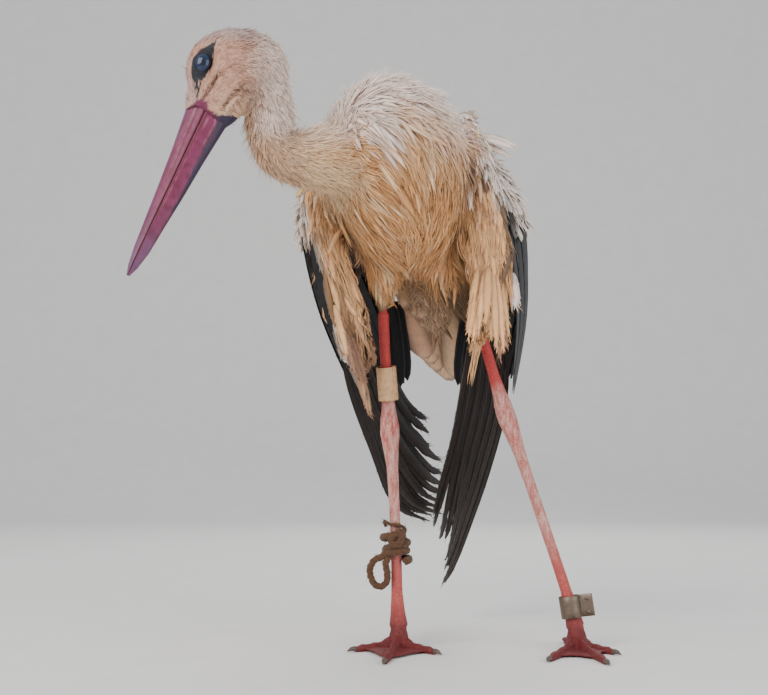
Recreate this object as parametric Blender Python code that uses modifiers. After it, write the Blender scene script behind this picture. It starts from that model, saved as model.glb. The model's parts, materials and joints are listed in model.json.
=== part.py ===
"""A life-size white stork, standing with its wings drooped and its bill lowered.

The bird faces -Y, +X is to its left and +Z is up. It is divided into the parts that a person would name: bill,
eyes, head, neck, trunk, tail, wings, thighs, shanks, feet and claws, with the bands and the rope that it wears.
Lengths are in metres. The shapes are laid out from a point on the floor beside the right foot, and move_origin
then puts the origin on the floor under the middle of the bird's box.
"""

import math

import bmesh
import bpy
import numpy as np
from mathutils import Matrix, Vector

# Driving dimensions
GAP = 0.0006  # clearance that a piece is cut back by from its neighbour
FLOOR_CENTRE = Vector((0.004, 0.052, 0.0))  # becomes the origin
TRUNK_CENTRE = Vector((0.022, 0.0, 0.454))
TRUNK_HEADING = math.radians(10)  # turned towards its own right
TRUNK_PITCH = math.radians(20)  # chest higher than the rump
TRUNK_ROLL = math.radians(6)  # left shoulder higher
TAIL_ROOT = Vector((0.044, 0.110, 0.368))
TAIL_HEADING = math.radians(7)
TAIL_LENGTH = 0.200
TAIL_DROOP = math.radians(24)
TAIL_FEATHERS = 7
PRIMARY_TIPS = 6
SECONDARY_TIPS = 8
EYE_RADIUS = 0.0085
TOE_RADIUS = 0.0052
FLOOR_FLAT = 0.0012  # how much of a toe's round underside is flat on the floor
RING_RADIUS = 0.011
RING_WALL = 0.0011
RING_HEIGHT = 0.024
RING_LEVEL = 0.0402
LIPS_REACH = 0.013
BAND_RADIUS = 0.0105
BAND_BORE = 0.0074
BAND_HEIGHT = 0.034
BAND_LEVEL = 0.2625
ROPE_RADIUS = 0.0050
ROPE_BORE = 0.0068
ROPE_TURNS = 3
ROPE_LEVEL = 0.1010

WHITE_FEATHER = (0.86, 0.80, 0.72)
CREAM_FEATHER = (0.72, 0.56, 0.40)
BLACK_FEATHER = (0.03, 0.03, 0.035)
BILL_RED = (0.42, 0.11, 0.16)
LEG_RED = (0.52, 0.12, 0.09)
LEG_PALE = (0.62, 0.36, 0.30)

LEFT = Vector((1, 0, 0))
TOWARDS_VIEWER = Vector((0, -1, 0))


def clear_scene():
    for leftover in list(bpy.data.objects):
        bpy.data.objects.remove(leftover, do_unlink=True)


def make_collection(name):
    made = bpy.data.collections.new(name)
    bpy.context.scene.collection.children.link(made)
    return made


def make_material(name, colour, roughness=0.7, metallic=0.0):
    made = bpy.data.materials.new(name)
    made.use_nodes = True
    shader = made.node_tree.nodes["Principled BSDF"]
    shader.inputs["Base Color"].default_value = (*colour, 1)
    shader.inputs["Roughness"].default_value = roughness
    shader.inputs["Metallic"].default_value = metallic
    made.diffuse_color = (*colour, 1)
    return made


def curve_at(stations, t):
    """The Catmull-Rom curve through the stations at t from 0 to 1. A station may hold any count of numbers."""
    stations = np.asarray(stations, float)
    place = min(max(t, 0.0), 1.0) * (len(stations) - 1)
    i = min(int(place), len(stations) - 2)
    f = place - i
    before = stations[i - 1] if i else 2 * stations[0] - stations[1]
    last = len(stations) - 1
    after = stations[i + 2] if i + 2 <= last else 2 * stations[last] - stations[last - 1]
    a, b = stations[i], stations[i + 1]
    return 0.5 * (
        2 * a + (b - before) * f + (2 * before - 5 * a + 4 * b - after) * f**2
        + (3 * a - before - 3 * b + after) * f**3
    )


def add_object(name, points, faces, look, collection=None):
    mesh = bpy.data.meshes.new(name)
    mesh.from_pydata([tuple(p) for p in points], [], faces)
    mesh.validate()
    build = bmesh.new()
    build.from_mesh(mesh)
    bmesh.ops.remove_doubles(build, verts=build.verts, dist=1e-6)
    bmesh.ops.recalc_face_normals(build, faces=build.faces)
    build.to_mesh(mesh)
    build.free()
    mesh.shade_smooth()
    mesh.set_sharp_from_angle(angle=math.radians(40))
    mesh.materials.append(look)
    made = bpy.data.objects.new(name, mesh)
    (collection or BIRD).objects.link(made)
    return made


def loft(name, stations, look, side=(LEFT, LEFT), sides=16, rings=24, span=(0, 1), reach=1e-3):
    """A closed body through oval sections.

    A station is (x, y, z, half width, height above, depth below). Its sections stand square to the curve of the
    centres, with their width along side, which turns evenly from the first direction to the last. A longer reach
    turns them more evenly through a tight bend.
    """
    points, faces = [], []
    for k in range(rings + 1):
        t = span[0] + (span[1] - span[0]) * k / rings
        values = curve_at(stations, t)
        ahead = curve_at(stations, t + reach)[:3] - curve_at(stations, t - reach)[:3]
        forward = Vector(ahead).normalized()
        across = Vector(side[0]).lerp(Vector(side[1]), t)
        across = (across - forward * across.dot(forward)).normalized()
        upward = forward.cross(across)
        half, above, below = (max(value, 0.0002) for value in values[3:])
        for j in range(sides):
            angle = 2 * math.pi * j / sides
            lift = math.sin(angle)
            height = lift * (above if lift > 0 else below)
            points.append(Vector(values[:3]) + across * (half * math.cos(angle)) + upward * height)
    for k in range(rings):
        for j in range(sides):
            nxt = (j + 1) % sides
            here, there = k * sides, (k + 1) * sides
            faces.append((here + j, here + nxt, there + nxt, there + j))
    faces.append(tuple(range(sides))[::-1])
    faces.append(tuple(range(rings * sides, (rings + 1) * sides)))
    return add_object(name, points, faces, look)


def feather_end(u, tips, depth):
    """Where the sheet ends, from 1 at a feather's tip down to 1 - depth between two."""
    return 1 - depth * (1 - abs(math.sin(math.pi * tips * u)) ** 0.6)


def sheet(name, ribs, look, thick, tips=1, notch=0.0, per_tip=4, rows=10, v_start=0.0, v_end=1.0):
    """A slab through ribs, each a list of points from the arm to the feather tips.

    thick is (at the arm, at the tips). The lower edge is cut into rounded feather tips.
    """
    columns = tips * per_tip

    def place(u, v):
        return Vector(curve_at([curve_at(rib, v) for rib in ribs], u))

    front, back = [], []
    for i in range(columns + 1):
        u = i / columns
        stop = v_start + (v_end - v_start) * feather_end(u, tips, notch)
        for j in range(rows + 1):
            v = v_start + (stop - v_start) * j / rows
            here = place(u, v)
            along = place(u, min(v + 0.01, 1)) - place(u, max(v - 0.01, 0))
            across = place(min(u + 0.01, 1), v) - place(max(u - 0.01, 0), v)
            normal = across.cross(along).normalized()
            half = 0.5 * (thick[0] + (thick[1] - thick[0]) * min(1, v * 1.2))
            rim = 0.35 if i in (0, columns) else 1.0
            front.append(here + normal * half * rim)
            back.append(here - normal * half * rim)
    points = front + back
    offset = len(front)
    faces = []
    for i in range(columns):
        for j in range(rows):
            a = i * (rows + 1) + j
            b = a + rows + 1
            faces.append((a, a + 1, b + 1, b))
            faces.append((offset + a, offset + b, offset + b + 1, offset + a + 1))
    border = [i * (rows + 1) for i in range(columns + 1)]
    border += [columns * (rows + 1) + j for j in range(1, rows + 1)]
    border += [i * (rows + 1) + rows for i in range(columns - 1, -1, -1)]
    border += list(range(rows - 1, 0, -1))
    for here, there in zip(border, border[1:] + border[:1]):
        faces.append((here, there, offset + there, offset + here))
    return add_object(name, points, faces, look)


def clear_of(piece, *neighbours, gap=GAP):
    """Cuts the piece back from each neighbour's uncut shape, grown by the gap."""
    for neighbour in neighbours:
        mesh = neighbour.data.copy()
        normals = [vertex.normal.copy() for vertex in mesh.vertices]
        for vertex, normal in zip(mesh.vertices, normals):
            vertex.co += normal * gap
        cutter = bpy.data.objects.new(f"cutter_{piece.name}_{neighbour.name}", mesh)
        cutter.matrix_world = neighbour.matrix_world
        as_cutter(cutter)
        subtract(piece, cutter)


def as_cutter(shape):
    for holder in list(shape.users_collection):
        holder.objects.unlink(shape)
    CUTTERS.objects.link(shape)
    shape.hide_render = True
    shape.display_type = "WIRE"
    return shape


def subtract(piece, cutter):
    cut = piece.modifiers.new("cut", "BOOLEAN")
    cut.operation = "DIFFERENCE"
    cut.object = cutter


def settle(shape):
    """Moves the object's place and turn into its mesh."""
    bpy.context.view_layer.update()
    shape.data.transform(shape.matrix_world)
    shape.matrix_world = Matrix.Identity(4)
    bpy.context.view_layer.update()


def join(name, shapes, look):
    """One body from overlapping shapes, by Boolean unions that are applied one after the other."""
    for shape in shapes:
        settle(shape)
    whole = shapes[0]
    for shape in shapes[1:]:
        union = whole.modifiers.new("join", "BOOLEAN")
        union.operation = "UNION"
        union.object = shape
    bpy.context.view_layer.update()
    graph = bpy.context.evaluated_depsgraph_get()
    mesh = bpy.data.meshes.new_from_object(whole.evaluated_get(graph))
    mesh.name = name
    mesh.materials.clear()
    mesh.materials.append(look)
    made = bpy.data.objects.new(name, mesh)
    BIRD.objects.link(made)
    for shape in shapes:
        bpy.data.objects.remove(shape, do_unlink=True)
    return made


def floor_cutter(name, top):
    """A broad block whose top is at the height given."""
    bpy.ops.mesh.primitive_cube_add(size=1, location=(0, 0, top - 0.05))
    block = bpy.context.object
    block.name = name
    block.scale = (1.2, 1.2, 0.1)
    return as_cutter(block)


# The trunk's own directions
def trunk_axes():
    turned = Matrix.Rotation(-TRUNK_HEADING, 3, "Z")
    level = turned @ Vector((0, -1, 0))
    left = turned @ LEFT
    rolled = (left * math.cos(TRUNK_ROLL) + Vector((0, 0, math.sin(TRUNK_ROLL)))).normalized()
    forward = level * math.cos(TRUNK_PITCH) + Vector((0, 0, math.sin(TRUNK_PITCH)))
    forward = (forward - rolled * forward.dot(rolled)).normalized()
    return forward, rolled


def make_trunk(look):
    """The body from the rump to the chest. A row is (place along, arch of the back, half width, back, belly)."""
    forward, left = trunk_axes()
    upward = forward.cross(left)
    if upward.z < 0:
        upward = -upward
    sections = (
        (-0.188, -0.055, 0.012, 0.010, 0.010),
        (-0.162, -0.042, 0.027, 0.024, 0.026),
        (-0.125, -0.026, 0.042, 0.046, 0.044),
        (-0.080, -0.010, 0.057, 0.070, 0.066),
        (-0.030, 0.000, 0.068, 0.088, 0.086),
        (0.020, 0.002, 0.073, 0.093, 0.096),
        (0.070, -0.006, 0.070, 0.084, 0.094),
        (0.112, -0.018, 0.057, 0.066, 0.078),
        (0.142, -0.030, 0.036, 0.042, 0.050),
        (0.156, -0.037, 0.010, 0.012, 0.014),
    )
    stations = [
        (*(TRUNK_CENTRE + forward * along + upward * arch), half, back, belly)
        for along, arch, half, back, belly in sections
    ]
    return loft("trunk", stations, look, side=(left, left), sides=18, rings=18)


HEAD_STATIONS = (
    (-0.1559, -0.165, 0.4838, 0.0135, 0.0184, 0.0193),
    (-0.1496, -0.1645, 0.4914, 0.0165, 0.0289, 0.0219),
    (-0.1428, -0.1635, 0.4998, 0.0205, 0.0410, 0.0228),
    (-0.1337, -0.162, 0.5111, 0.0250, 0.0484, 0.0238),
    (-0.1224, -0.159, 0.5257, 0.0265, 0.0478, 0.0290),
    (-0.1121, -0.157, 0.5387, 0.0245, 0.0391, 0.0302),
    (-0.1051, -0.156, 0.5473, 0.0175, 0.0240, 0.0223),
    (-0.1016, -0.155, 0.5518, 0.0060, 0.0054, 0.0071),
)
# From inside the back of the head down the neck into the breast
NECK_STATIONS = (
    (-0.1147, -0.155, 0.5267, 0.0200, 0.0240, 0.0220),
    (-0.1067, -0.153, 0.5091, 0.0215, 0.0231, 0.0225),
    (-0.1024, -0.150, 0.4917, 0.0210, 0.0208, 0.0210),
    (-0.1007, -0.147, 0.4753, 0.0205, 0.0190, 0.0205),
    (-0.0956, -0.143, 0.4600, 0.0215, 0.0172, 0.0205),
    (-0.0834, -0.139, 0.4538, 0.0240, 0.0220, 0.0233),
    (-0.0676, -0.134, 0.4534, 0.0275, 0.0279, 0.0261),
    (-0.0509, -0.126, 0.4557, 0.0320, 0.0309, 0.0291),
    (-0.0314, -0.108, 0.4600, 0.0360, 0.0351, 0.0333),
)
NECK_DIVIDE = 0.66
BILL_BASE = Vector((-0.153, -0.165, 0.489))
BILL_TIP = Vector((-0.216, -0.185, 0.338))
# (share of the bill's length, half width, culmen over the cutting edge, depth below it)
BILL_SECTIONS = (
    (0.00, 0.0125, 0.0195, 0.0205),
    (0.12, 0.0115, 0.0170, 0.0185),
    (0.30, 0.0100, 0.0135, 0.0155),
    (0.50, 0.0080, 0.0105, 0.0130),
    (0.70, 0.0062, 0.0078, 0.0098),
    (0.85, 0.0046, 0.0058, 0.0078),
    (0.95, 0.0028, 0.0034, 0.0044),
    (1.00, 0.0008, 0.0010, 0.0012),
)


def make_head_and_neck(feathers, eye_look, bill_look, trunk):
    away = -TOWARDS_VIEWER
    head = loft("head", HEAD_STATIONS, feathers, side=(away, away), sides=14, rings=12)
    side = (away, Vector((0.5, 0.85, 0)))
    spans = ((0, NECK_DIVIDE), (NECK_DIVIDE + 0.004, 1))
    upper = loft("neck_upper", NECK_STATIONS, feathers, side=side, sides=14, rings=9, span=spans[0], reach=0.06)
    lower = loft("neck_lower", NECK_STATIONS, feathers, side=side, sides=14, rings=8, span=spans[1], reach=0.06)
    clear_of(upper, head)
    clear_of(lower, trunk)
    eyes = [make_eye(name, sign, eye_look) for name, sign in (("eye_left", 1), ("eye_right", -1))]
    clear_of(head, *eyes, gap=0.0004)
    for name, above in (("bill_upper", True), ("bill_lower", False)):
        clear_of(make_mandible(name, above, bill_look), head)


def make_eye(name, sign, look):
    """An eyeball set in the side of the head, its front standing a little proud of the skin."""
    centre = Vector((-0.1540, -0.1575, 0.5250)) + TOWARDS_VIEWER * (sign * 0.0185)
    bpy.ops.mesh.primitive_uv_sphere_add(segments=12, ring_count=8, radius=EYE_RADIUS, location=centre)
    ball = bpy.context.object
    ball.name = name
    ball.rotation_euler = (math.radians(90), 0, 0)
    ball.data.materials.append(look)
    ball.data.shade_smooth()
    for holder in list(ball.users_collection):
        holder.objects.unlink(ball)
    BIRD.objects.link(ball)
    settle(ball)
    return ball


def make_mandible(name, above, look):
    """Half of the bill: an oval halved flat along the cutting edges, which a hair's breadth parts."""
    slit = 0.0002
    stations = []
    for share, half, over, under in BILL_SECTIONS:
        centre = BILL_BASE.lerp(BILL_TIP, share)
        stations.append((*centre, half, over if above else 0.0, 0.0 if above else under))
    start = BILL_BASE + (BILL_BASE - BILL_TIP).normalized() * 0.012
    stations.insert(0, (*start, *stations[0][3:]))
    half_bill = loft(name, stations, look, side=(TOWARDS_VIEWER, TOWARDS_VIEWER), sides=12, rings=12)
    along = (BILL_TIP - BILL_BASE).normalized()
    lift = along.cross(TOWARDS_VIEWER).normalized() * (slit if above else -slit)
    half_bill.data.transform(Matrix.Translation(lift))
    return half_bill


def make_tail(look, trunk):
    """The fan of tail feathers, arched across and drooping below the line of the back."""
    left = Matrix.Rotation(-TAIL_HEADING, 3, "Z") @ LEFT
    level = Matrix.Rotation(-TAIL_HEADING, 3, "Z") @ Vector((0, 1, 0))
    along = level * math.cos(TAIL_DROOP) - Vector((0, 0, math.sin(TAIL_DROOP)))
    upward = left.cross(along).normalized()
    ribs = []
    for share in (-1, -0.5, 0, 0.5, 1):
        start = TAIL_ROOT + left * (share * 0.018)
        end = TAIL_ROOT + along * (TAIL_LENGTH * (1 - 0.10 * share * share)) + left * (share * 0.031)
        arch = upward * (-0.012 * share * share)
        middle = start.lerp(end, 0.5) + arch * 0.6 + left * (share * 0.008)
        ribs.append([tuple(start), tuple(middle), tuple(end + arch)])
    tail = sheet("tail", ribs, look, thick=(0.016, 0.004), tips=TAIL_FEATHERS, notch=0.06, per_tip=3, rows=4)
    clear_of(tail, trunk)
    return tail


# Each wing hangs like a cloak. A rib is four or five points from the arm down to the feather tips.
LEFT_WING = {
    "hand": (
        (0.082, -0.008, 0.536, 0.010, 0.006, 0.006),
        (0.090, -0.033, 0.491, 0.016, 0.008, 0.008),
        (0.099, -0.046, 0.432, 0.021, 0.009, 0.009),
        (0.104, -0.042, 0.378, 0.022, 0.009, 0.009),
        (0.104, -0.030, 0.336, 0.018, 0.006, 0.006),
        (0.095, -0.014, 0.304, 0.006, 0.002, 0.002),
    ),
    "secondaries": (
        ((0.082, 0.000, 0.545), (0.117, -0.012, 0.440), (0.136, 0.022, 0.349), (0.137, 0.080, 0.258)),
        ((0.072, 0.070, 0.535), (0.140, 0.060, 0.464), (0.153, 0.090, 0.360), (0.138, 0.135, 0.255)),
        ((0.058, 0.138, 0.478), (0.116, 0.180, 0.432), (0.116, 0.212, 0.362), (0.088, 0.235, 0.310)),
    ),
    "primaries": (
        ((0.123, 0.004, 0.345), (0.126, 0.035, 0.255), (0.112, 0.100, 0.175), (0.081, 0.170, 0.090),
         (0.055, 0.215, 0.035)),
        ((0.113, 0.034, 0.350), (0.110, 0.072, 0.260), (0.095, 0.130, 0.182), (0.073, 0.180, 0.110),
         (0.056, 0.222, 0.060)),
        ((0.098, 0.062, 0.355), (0.087, 0.108, 0.275), (0.078, 0.148, 0.212), (0.068, 0.183, 0.158),
         (0.063, 0.205, 0.122)),
    ),
}
RIGHT_WING = {
    "hand": (
        (-0.063, -0.005, 0.490, 0.009, 0.006, 0.006),
        (-0.065, -0.035, 0.450, 0.014, 0.008, 0.008),
        (-0.060, -0.045, 0.403, 0.017, 0.008, 0.008),
        (-0.046, -0.038, 0.349, 0.022, 0.007, 0.007),
        (-0.033, -0.022, 0.306, 0.020, 0.005, 0.005),
        (-0.022, -0.004, 0.272, 0.010, 0.002, 0.002),
    ),
    "secondaries": (
        ((-0.062, 0.008, 0.512), (-0.086, 0.020, 0.433), (-0.072, 0.060, 0.350), (-0.035, 0.100, 0.260)),
        ((-0.020, 0.080, 0.520), (-0.080, 0.105, 0.452), (-0.057, 0.140, 0.360), (-0.014, 0.165, 0.257)),
        ((0.018, 0.150, 0.466), (-0.020, 0.190, 0.425), (0.007, 0.217, 0.350), (0.036, 0.215, 0.264)),
    ),
    "primaries": (
        ((-0.047, 0.012, 0.335), (-0.038, 0.055, 0.269), (-0.015, 0.110, 0.202), (0.011, 0.175, 0.135),
         (0.062, 0.235, 0.107)),
        ((-0.033, 0.040, 0.335), (-0.013, 0.080, 0.262), (0.013, 0.135, 0.206), (0.050, 0.195, 0.160),
         (0.082, 0.232, 0.149)),
        ((-0.019, 0.068, 0.335), (0.005, 0.103, 0.285), (0.028, 0.145, 0.250), (0.054, 0.178, 0.236),
         (0.074, 0.195, 0.236)),
    ),
}


def make_wing(side_name, wing, white, black, trunk):
    arm = sheet(
        f"wing_{side_name}_arm", wing["secondaries"], white,
        thick=(0.014, 0.010), tips=1, per_tip=10, rows=5, v_end=0.42,
    )
    secondaries = sheet(
        f"wing_{side_name}_secondaries", wing["secondaries"], black,
        thick=(0.009, 0.004), tips=SECONDARY_TIPS, notch=0.10, per_tip=3, rows=3, v_start=0.424,
    )
    primaries = sheet(
        f"wing_{side_name}_primaries", wing["primaries"], black,
        thick=(0.007, 0.004), tips=PRIMARY_TIPS, notch=0.12, per_tip=3, rows=6,
    )
    hand = loft(f"wing_{side_name}_hand", wing["hand"], white, sides=10, rings=10)
    clear_of(arm, trunk)
    clear_of(secondaries, trunk)
    clear_of(hand, trunk, arm, secondaries)
    clear_of(primaries, trunk, arm, secondaries, hand)


RIGHT_LEG = {
    "thigh": (
        (0.006, -0.008, 0.400, 0.030, 0.030, 0.030),
        (0.002, -0.006, 0.368, 0.022, 0.025, 0.025),
        (-0.001, -0.003, 0.350, 0.014, 0.015, 0.015),
        (-0.001, 0.001, 0.332, 0.0085, 0.0085, 0.0085),
    ),
    "tibia": (
        (-0.001, 0.000, 0.345, 0.0060, 0.0060, 0.0060),
        (0.001, 0.009, 0.290, 0.0055, 0.0055, 0.0055),
        (0.004, 0.018, 0.250, 0.0058, 0.0060, 0.0060),
        (0.005, 0.024, 0.230, 0.0088, 0.0090, 0.0090),
        (0.0055, 0.0255, 0.222, 0.0080, 0.0080, 0.0080),
    ),
    "shank": (
        (0.005, 0.024, 0.230, 0.0088, 0.0090, 0.0090),
        (0.006, 0.026, 0.214, 0.0100, 0.0105, 0.0110),
        (0.007, 0.024, 0.196, 0.0080, 0.0080, 0.0085),
        (0.009, 0.0225, 0.170, 0.0058, 0.0060, 0.0060),
        (0.012, 0.0190, 0.100, 0.0055, 0.0055, 0.0058),
        (0.013, 0.0155, 0.050, 0.0060, 0.0058, 0.0062),
        (0.0145, 0.0130, 0.022, 0.0095, 0.0085, 0.0090),
    ),
    "foot": Vector((0.0145, 0.012, 0.0)),
    "toes": ((-62, 0.048), (-9, 0.090), (42, 0.051), (183, 0.036)),
}
LEFT_LEG = {
    "thigh": (
        (0.050, 0.000, 0.400, 0.030, 0.030, 0.030),
        (0.068, 0.003, 0.365, 0.022, 0.026, 0.026),
        (0.086, 0.006, 0.332, 0.014, 0.015, 0.015),
        (0.101, 0.011, 0.306, 0.0085, 0.0085, 0.0085),
    ),
    "tibia": (
        (0.098, 0.009, 0.314, 0.0060, 0.0060, 0.0060),
        (0.107, 0.015, 0.288, 0.0055, 0.0055, 0.0055),
        (0.115, 0.022, 0.262, 0.0062, 0.0064, 0.0064),
        (0.121, 0.027, 0.244, 0.0088, 0.0090, 0.0090),
        (0.1235, 0.0285, 0.236, 0.0080, 0.0080, 0.0080),
    ),
    "shank": (
        (0.121, 0.027, 0.244, 0.0088, 0.0090, 0.0090),
        (0.126, 0.029, 0.228, 0.0100, 0.0105, 0.0110),
        (0.133, 0.027, 0.208, 0.0080, 0.0080, 0.0085),
        (0.142, 0.0245, 0.180, 0.0058, 0.0060, 0.0060),
        (0.166, 0.0175, 0.104, 0.0055, 0.0055, 0.0058),
        (0.182, 0.0135, 0.052, 0.0058, 0.0058, 0.0060),
        (0.189, 0.0115, 0.022, 0.0095, 0.0085, 0.0090),
    ),
    "foot": Vector((0.190, 0.010, 0.0)),
    "toes": ((-27, 0.083), (7, 0.091), (38, 0.047), (189, 0.036)),
}


def toe_direction(degrees):
    """0 points to the front, and positive turns to the bird's left."""
    angle = math.radians(degrees)
    return Vector((math.sin(angle), -math.cos(angle), 0))


def make_leg(side_name, leg, feathers, skin, claw_look, trunk):
    thigh = loft(f"thigh_{side_name}", leg["thigh"], feathers, sides=12, rings=6)
    tibia = loft(f"tibia_{side_name}", leg["tibia"], skin, sides=10, rings=5)
    shank = loft(f"shank_{side_name}", leg["shank"], skin, sides=10, rings=11)
    clear_of(thigh, trunk)
    clear_of(tibia, thigh, shank)
    foot = make_foot(side_name, leg, skin, claw_look)
    clear_of(shank, foot)


def make_foot(side_name, leg, skin, claw_look):
    """Three front toes with small webs and a short hind toe, flat on the floor, and their claws."""
    centre = leg["foot"]
    shapes = []
    knuckle = centre + Vector((0, 0, 0.010))
    bpy.ops.mesh.primitive_uv_sphere_add(segments=10, ring_count=6, radius=0.0105, location=knuckle)
    hub = bpy.context.object
    hub.scale = (1.0, 1.0, 0.95)
    shapes.append(hub)
    for degrees, length in leg["toes"]:
        way = toe_direction(degrees)
        rise = TOE_RADIUS - FLOOR_FLAT
        stations = [
            (*(centre + Vector((0, 0, 0.011))), 0.0060, 0.0060, 0.0060),
            (*(centre + way * (length * 0.22) + Vector((0, 0, rise + 0.0022))), 0.0056, 0.0060, 0.0065),
            (*(centre + way * (length * 0.50) + Vector((0, 0, rise))), TOE_RADIUS, 0.0048, TOE_RADIUS),
            (*(centre + way * (length * 0.80) + Vector((0, 0, rise))), 0.0048, 0.0042, TOE_RADIUS),
            (*(centre + way * length + Vector((0, 0, rise - 0.0010))), 0.0034, 0.0030, 0.0042),
        ]
        across = Vector((0, 0, 1)).cross(way)
        shapes.append(loft(f"toe_{degrees}", stations, skin, side=(across, across), sides=7, rings=5))
    low = 0.0021
    for (first, reach), (second, other) in zip(leg["toes"][:2], leg["toes"][1:3]):
        span = min(reach, other)
        shapes.append(make_web(centre, toe_direction(first), toe_direction(second), span, low, skin))
        low += 0.0004
    foot = join(f"foot_{side_name}", shapes, skin)
    subtract(foot, floor_cutter(f"cutter_floor_{side_name}", 0.0))
    for number, (degrees, length) in enumerate(leg["toes"], 1):
        way = toe_direction(degrees)
        base = centre + way * (length + 0.0005)
        across = Vector((0, 0, 1)).cross(way)
        stations = [
            (*(base + Vector((0, 0, 0.0030))), 0.0029, 0.0026, 0.0022),
            (*(base + way * 0.0045 + Vector((0, 0, 0.0030))), 0.0026, 0.0020, 0.0020),
            (*(base + way * 0.0085 + Vector((0, 0, 0.0016))), 0.0010, 0.0008, 0.0008),
        ]
        loft(f"claw_{side_name}_{number}", stations, claw_look, side=(across, across), sides=6, rings=3)
    return foot


def make_web(centre, first, second, reach, low, look):
    """The skin between the roots of two toes: a thin wedge with a hollowed front edge."""
    share = 0.46 * reach
    between = (first + second).normalized()
    aside = (first - between * first.dot(between)).normalized() * 0.0012
    outline = [centre - between * 0.002 + aside, centre + first * share + aside]
    for step in (0.25, 0.5, 0.75):
        chord = (first * (1 - step) + second * step) * share
        outline.append(centre + chord - between * (share * 0.42 * math.sin(math.pi * step)))
    outline += [centre + second * share - aside, centre - between * 0.002 - aside]
    count = len(outline)
    points = [p + Vector((0, 0, z)) for z in (low, low + 0.003) for p in outline]
    faces = [tuple(range(count))[::-1], tuple(range(count, 2 * count))]
    faces += [(i, (i + 1) % count, (i + 1) % count + count, i + count) for i in range(count)]
    return add_object("web", points, faces, look)


def turned(name, profile, look, centre, axis, steps=28):
    """A ring turned about an axis through the centre. The profile is (radius, height), closed, outer side first."""
    mesh = bpy.data.meshes.new(name)
    corners = [(radius, 0, height) for radius, height in profile]
    mesh.from_pydata(corners, [(i, (i + 1) % len(corners)) for i in range(len(corners))], [])
    mesh.materials.append(look)
    made = bpy.data.objects.new(name, mesh)
    BIRD.objects.link(made)
    made.location = centre
    made.rotation_euler = Vector(axis).to_track_quat("Z", "Y").to_euler()
    screw = made.modifiers.new("turn", "SCREW")
    screw.steps = steps
    screw.render_steps = steps
    screw.use_merge_vertices = True
    screw.merge_threshold = 0.00001
    return made


def tube_profile(inner, outer, height):
    return [(outer, height / 2), (outer, -height / 2), (inner, -height / 2), (inner, height / 2)]


def on_leg(stations, height):
    """The point of a leg's middle line at a height, and the line's direction up."""
    low, high = 0.0, 1.0
    for _ in range(30):
        middle = (low + high) / 2
        if curve_at(stations, middle)[2] > height:
            low = middle
        else:
            high = middle
    here = Vector(curve_at(stations, low)[:3])
    above = Vector(curve_at(stations, low - 0.05)[:3])
    return here, (above - here).normalized()


def make_bands(band_look, ring_look, rope_look):
    """The wide band above the right hock, the metal ring above the left foot, and the rope's turns and knot."""
    centre, upward = on_leg(RIGHT_LEG["tibia"], BAND_LEVEL)
    turned("band_right_tibia", tube_profile(BAND_BORE, BAND_RADIUS, BAND_HEIGHT), band_look, centre, upward)

    centre, upward = on_leg(LEFT_LEG["shank"], RING_LEVEL)
    profile = tube_profile(RING_RADIUS - RING_WALL, RING_RADIUS, RING_HEIGHT)
    ring = turned("ring_turn", profile, ring_look, centre, upward)
    join("ring_left_shank", [apply_modifiers(ring), make_ring_lips(centre, upward, ring_look)], ring_look)

    centre, upward = on_leg(RIGHT_LEG["shank"], ROPE_LEVEL)
    wrap = turned("rope_turns", rope_profile(), rope_look, centre, upward, steps=14)
    pieces = [apply_modifiers(wrap), make_rope_knot(centre, rope_look), make_rope_bight(centre, rope_look)]
    join("rope_right_shank", pieces, rope_look)


def rope_profile():
    """Half rounds one over the other, for the rope's turns, closed along the leg."""
    pitch = 1.74 * ROPE_RADIUS
    profile = []
    for turn in range(ROPE_TURNS):
        level = (ROPE_TURNS / 2 - turn - 0.5) * pitch
        for step in range(4):
            angle = math.radians(54 - 36 * step)
            out = ROPE_BORE + ROPE_RADIUS * (1 + math.cos(angle))
            profile.append((out, level + ROPE_RADIUS * math.sin(angle)))
    profile.append((ROPE_BORE, profile[-1][1]))
    profile.append((ROPE_BORE, profile[0][1]))
    return profile


def apply_modifiers(shape):
    bpy.context.view_layer.update()
    graph = bpy.context.evaluated_depsgraph_get()
    mesh = bpy.data.meshes.new_from_object(shape.evaluated_get(graph))
    build = bmesh.new()
    build.from_mesh(mesh)
    bmesh.ops.remove_doubles(build, verts=build.verts, dist=1e-6)
    bmesh.ops.recalc_face_normals(build, faces=build.faces)
    build.to_mesh(mesh)
    build.free()
    made = bpy.data.objects.new(shape.name + "_made", mesh)
    made.matrix_world = shape.matrix_world
    BIRD.objects.link(made)
    bpy.data.objects.remove(shape, do_unlink=True)
    return made


def make_ring_lips(centre, upward, look):
    """The ring's closing lips, pressed flat together on its outer side."""
    outward = Vector((1, -0.25, 0))
    outward = (outward - upward * outward.dot(upward)).normalized()
    bpy.ops.mesh.primitive_cube_add(size=1)
    lips = bpy.context.object
    lips.dimensions = (LIPS_REACH, 0.0026, RING_HEIGHT - 0.001)
    bpy.ops.object.transform_apply(location=False, rotation=False, scale=True)
    across = upward.cross(outward).normalized()
    turn = Matrix((outward, across, upward)).transposed().to_4x4()
    lips.matrix_world = Matrix.Translation(centre + outward * (RING_RADIUS - 0.001 + LIPS_REACH / 2)) @ turn
    lips.data.materials.append(look)
    return lips


def make_rope_knot(centre, look):
    place = centre + Vector((0.001, -0.0145, 0.006))
    bpy.ops.mesh.primitive_uv_sphere_add(segments=9, ring_count=6, radius=1, location=place)
    knot = bpy.context.object
    knot.scale = (0.0100, 0.0062, 0.0070)
    knot.data.materials.append(look)
    return knot


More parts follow.
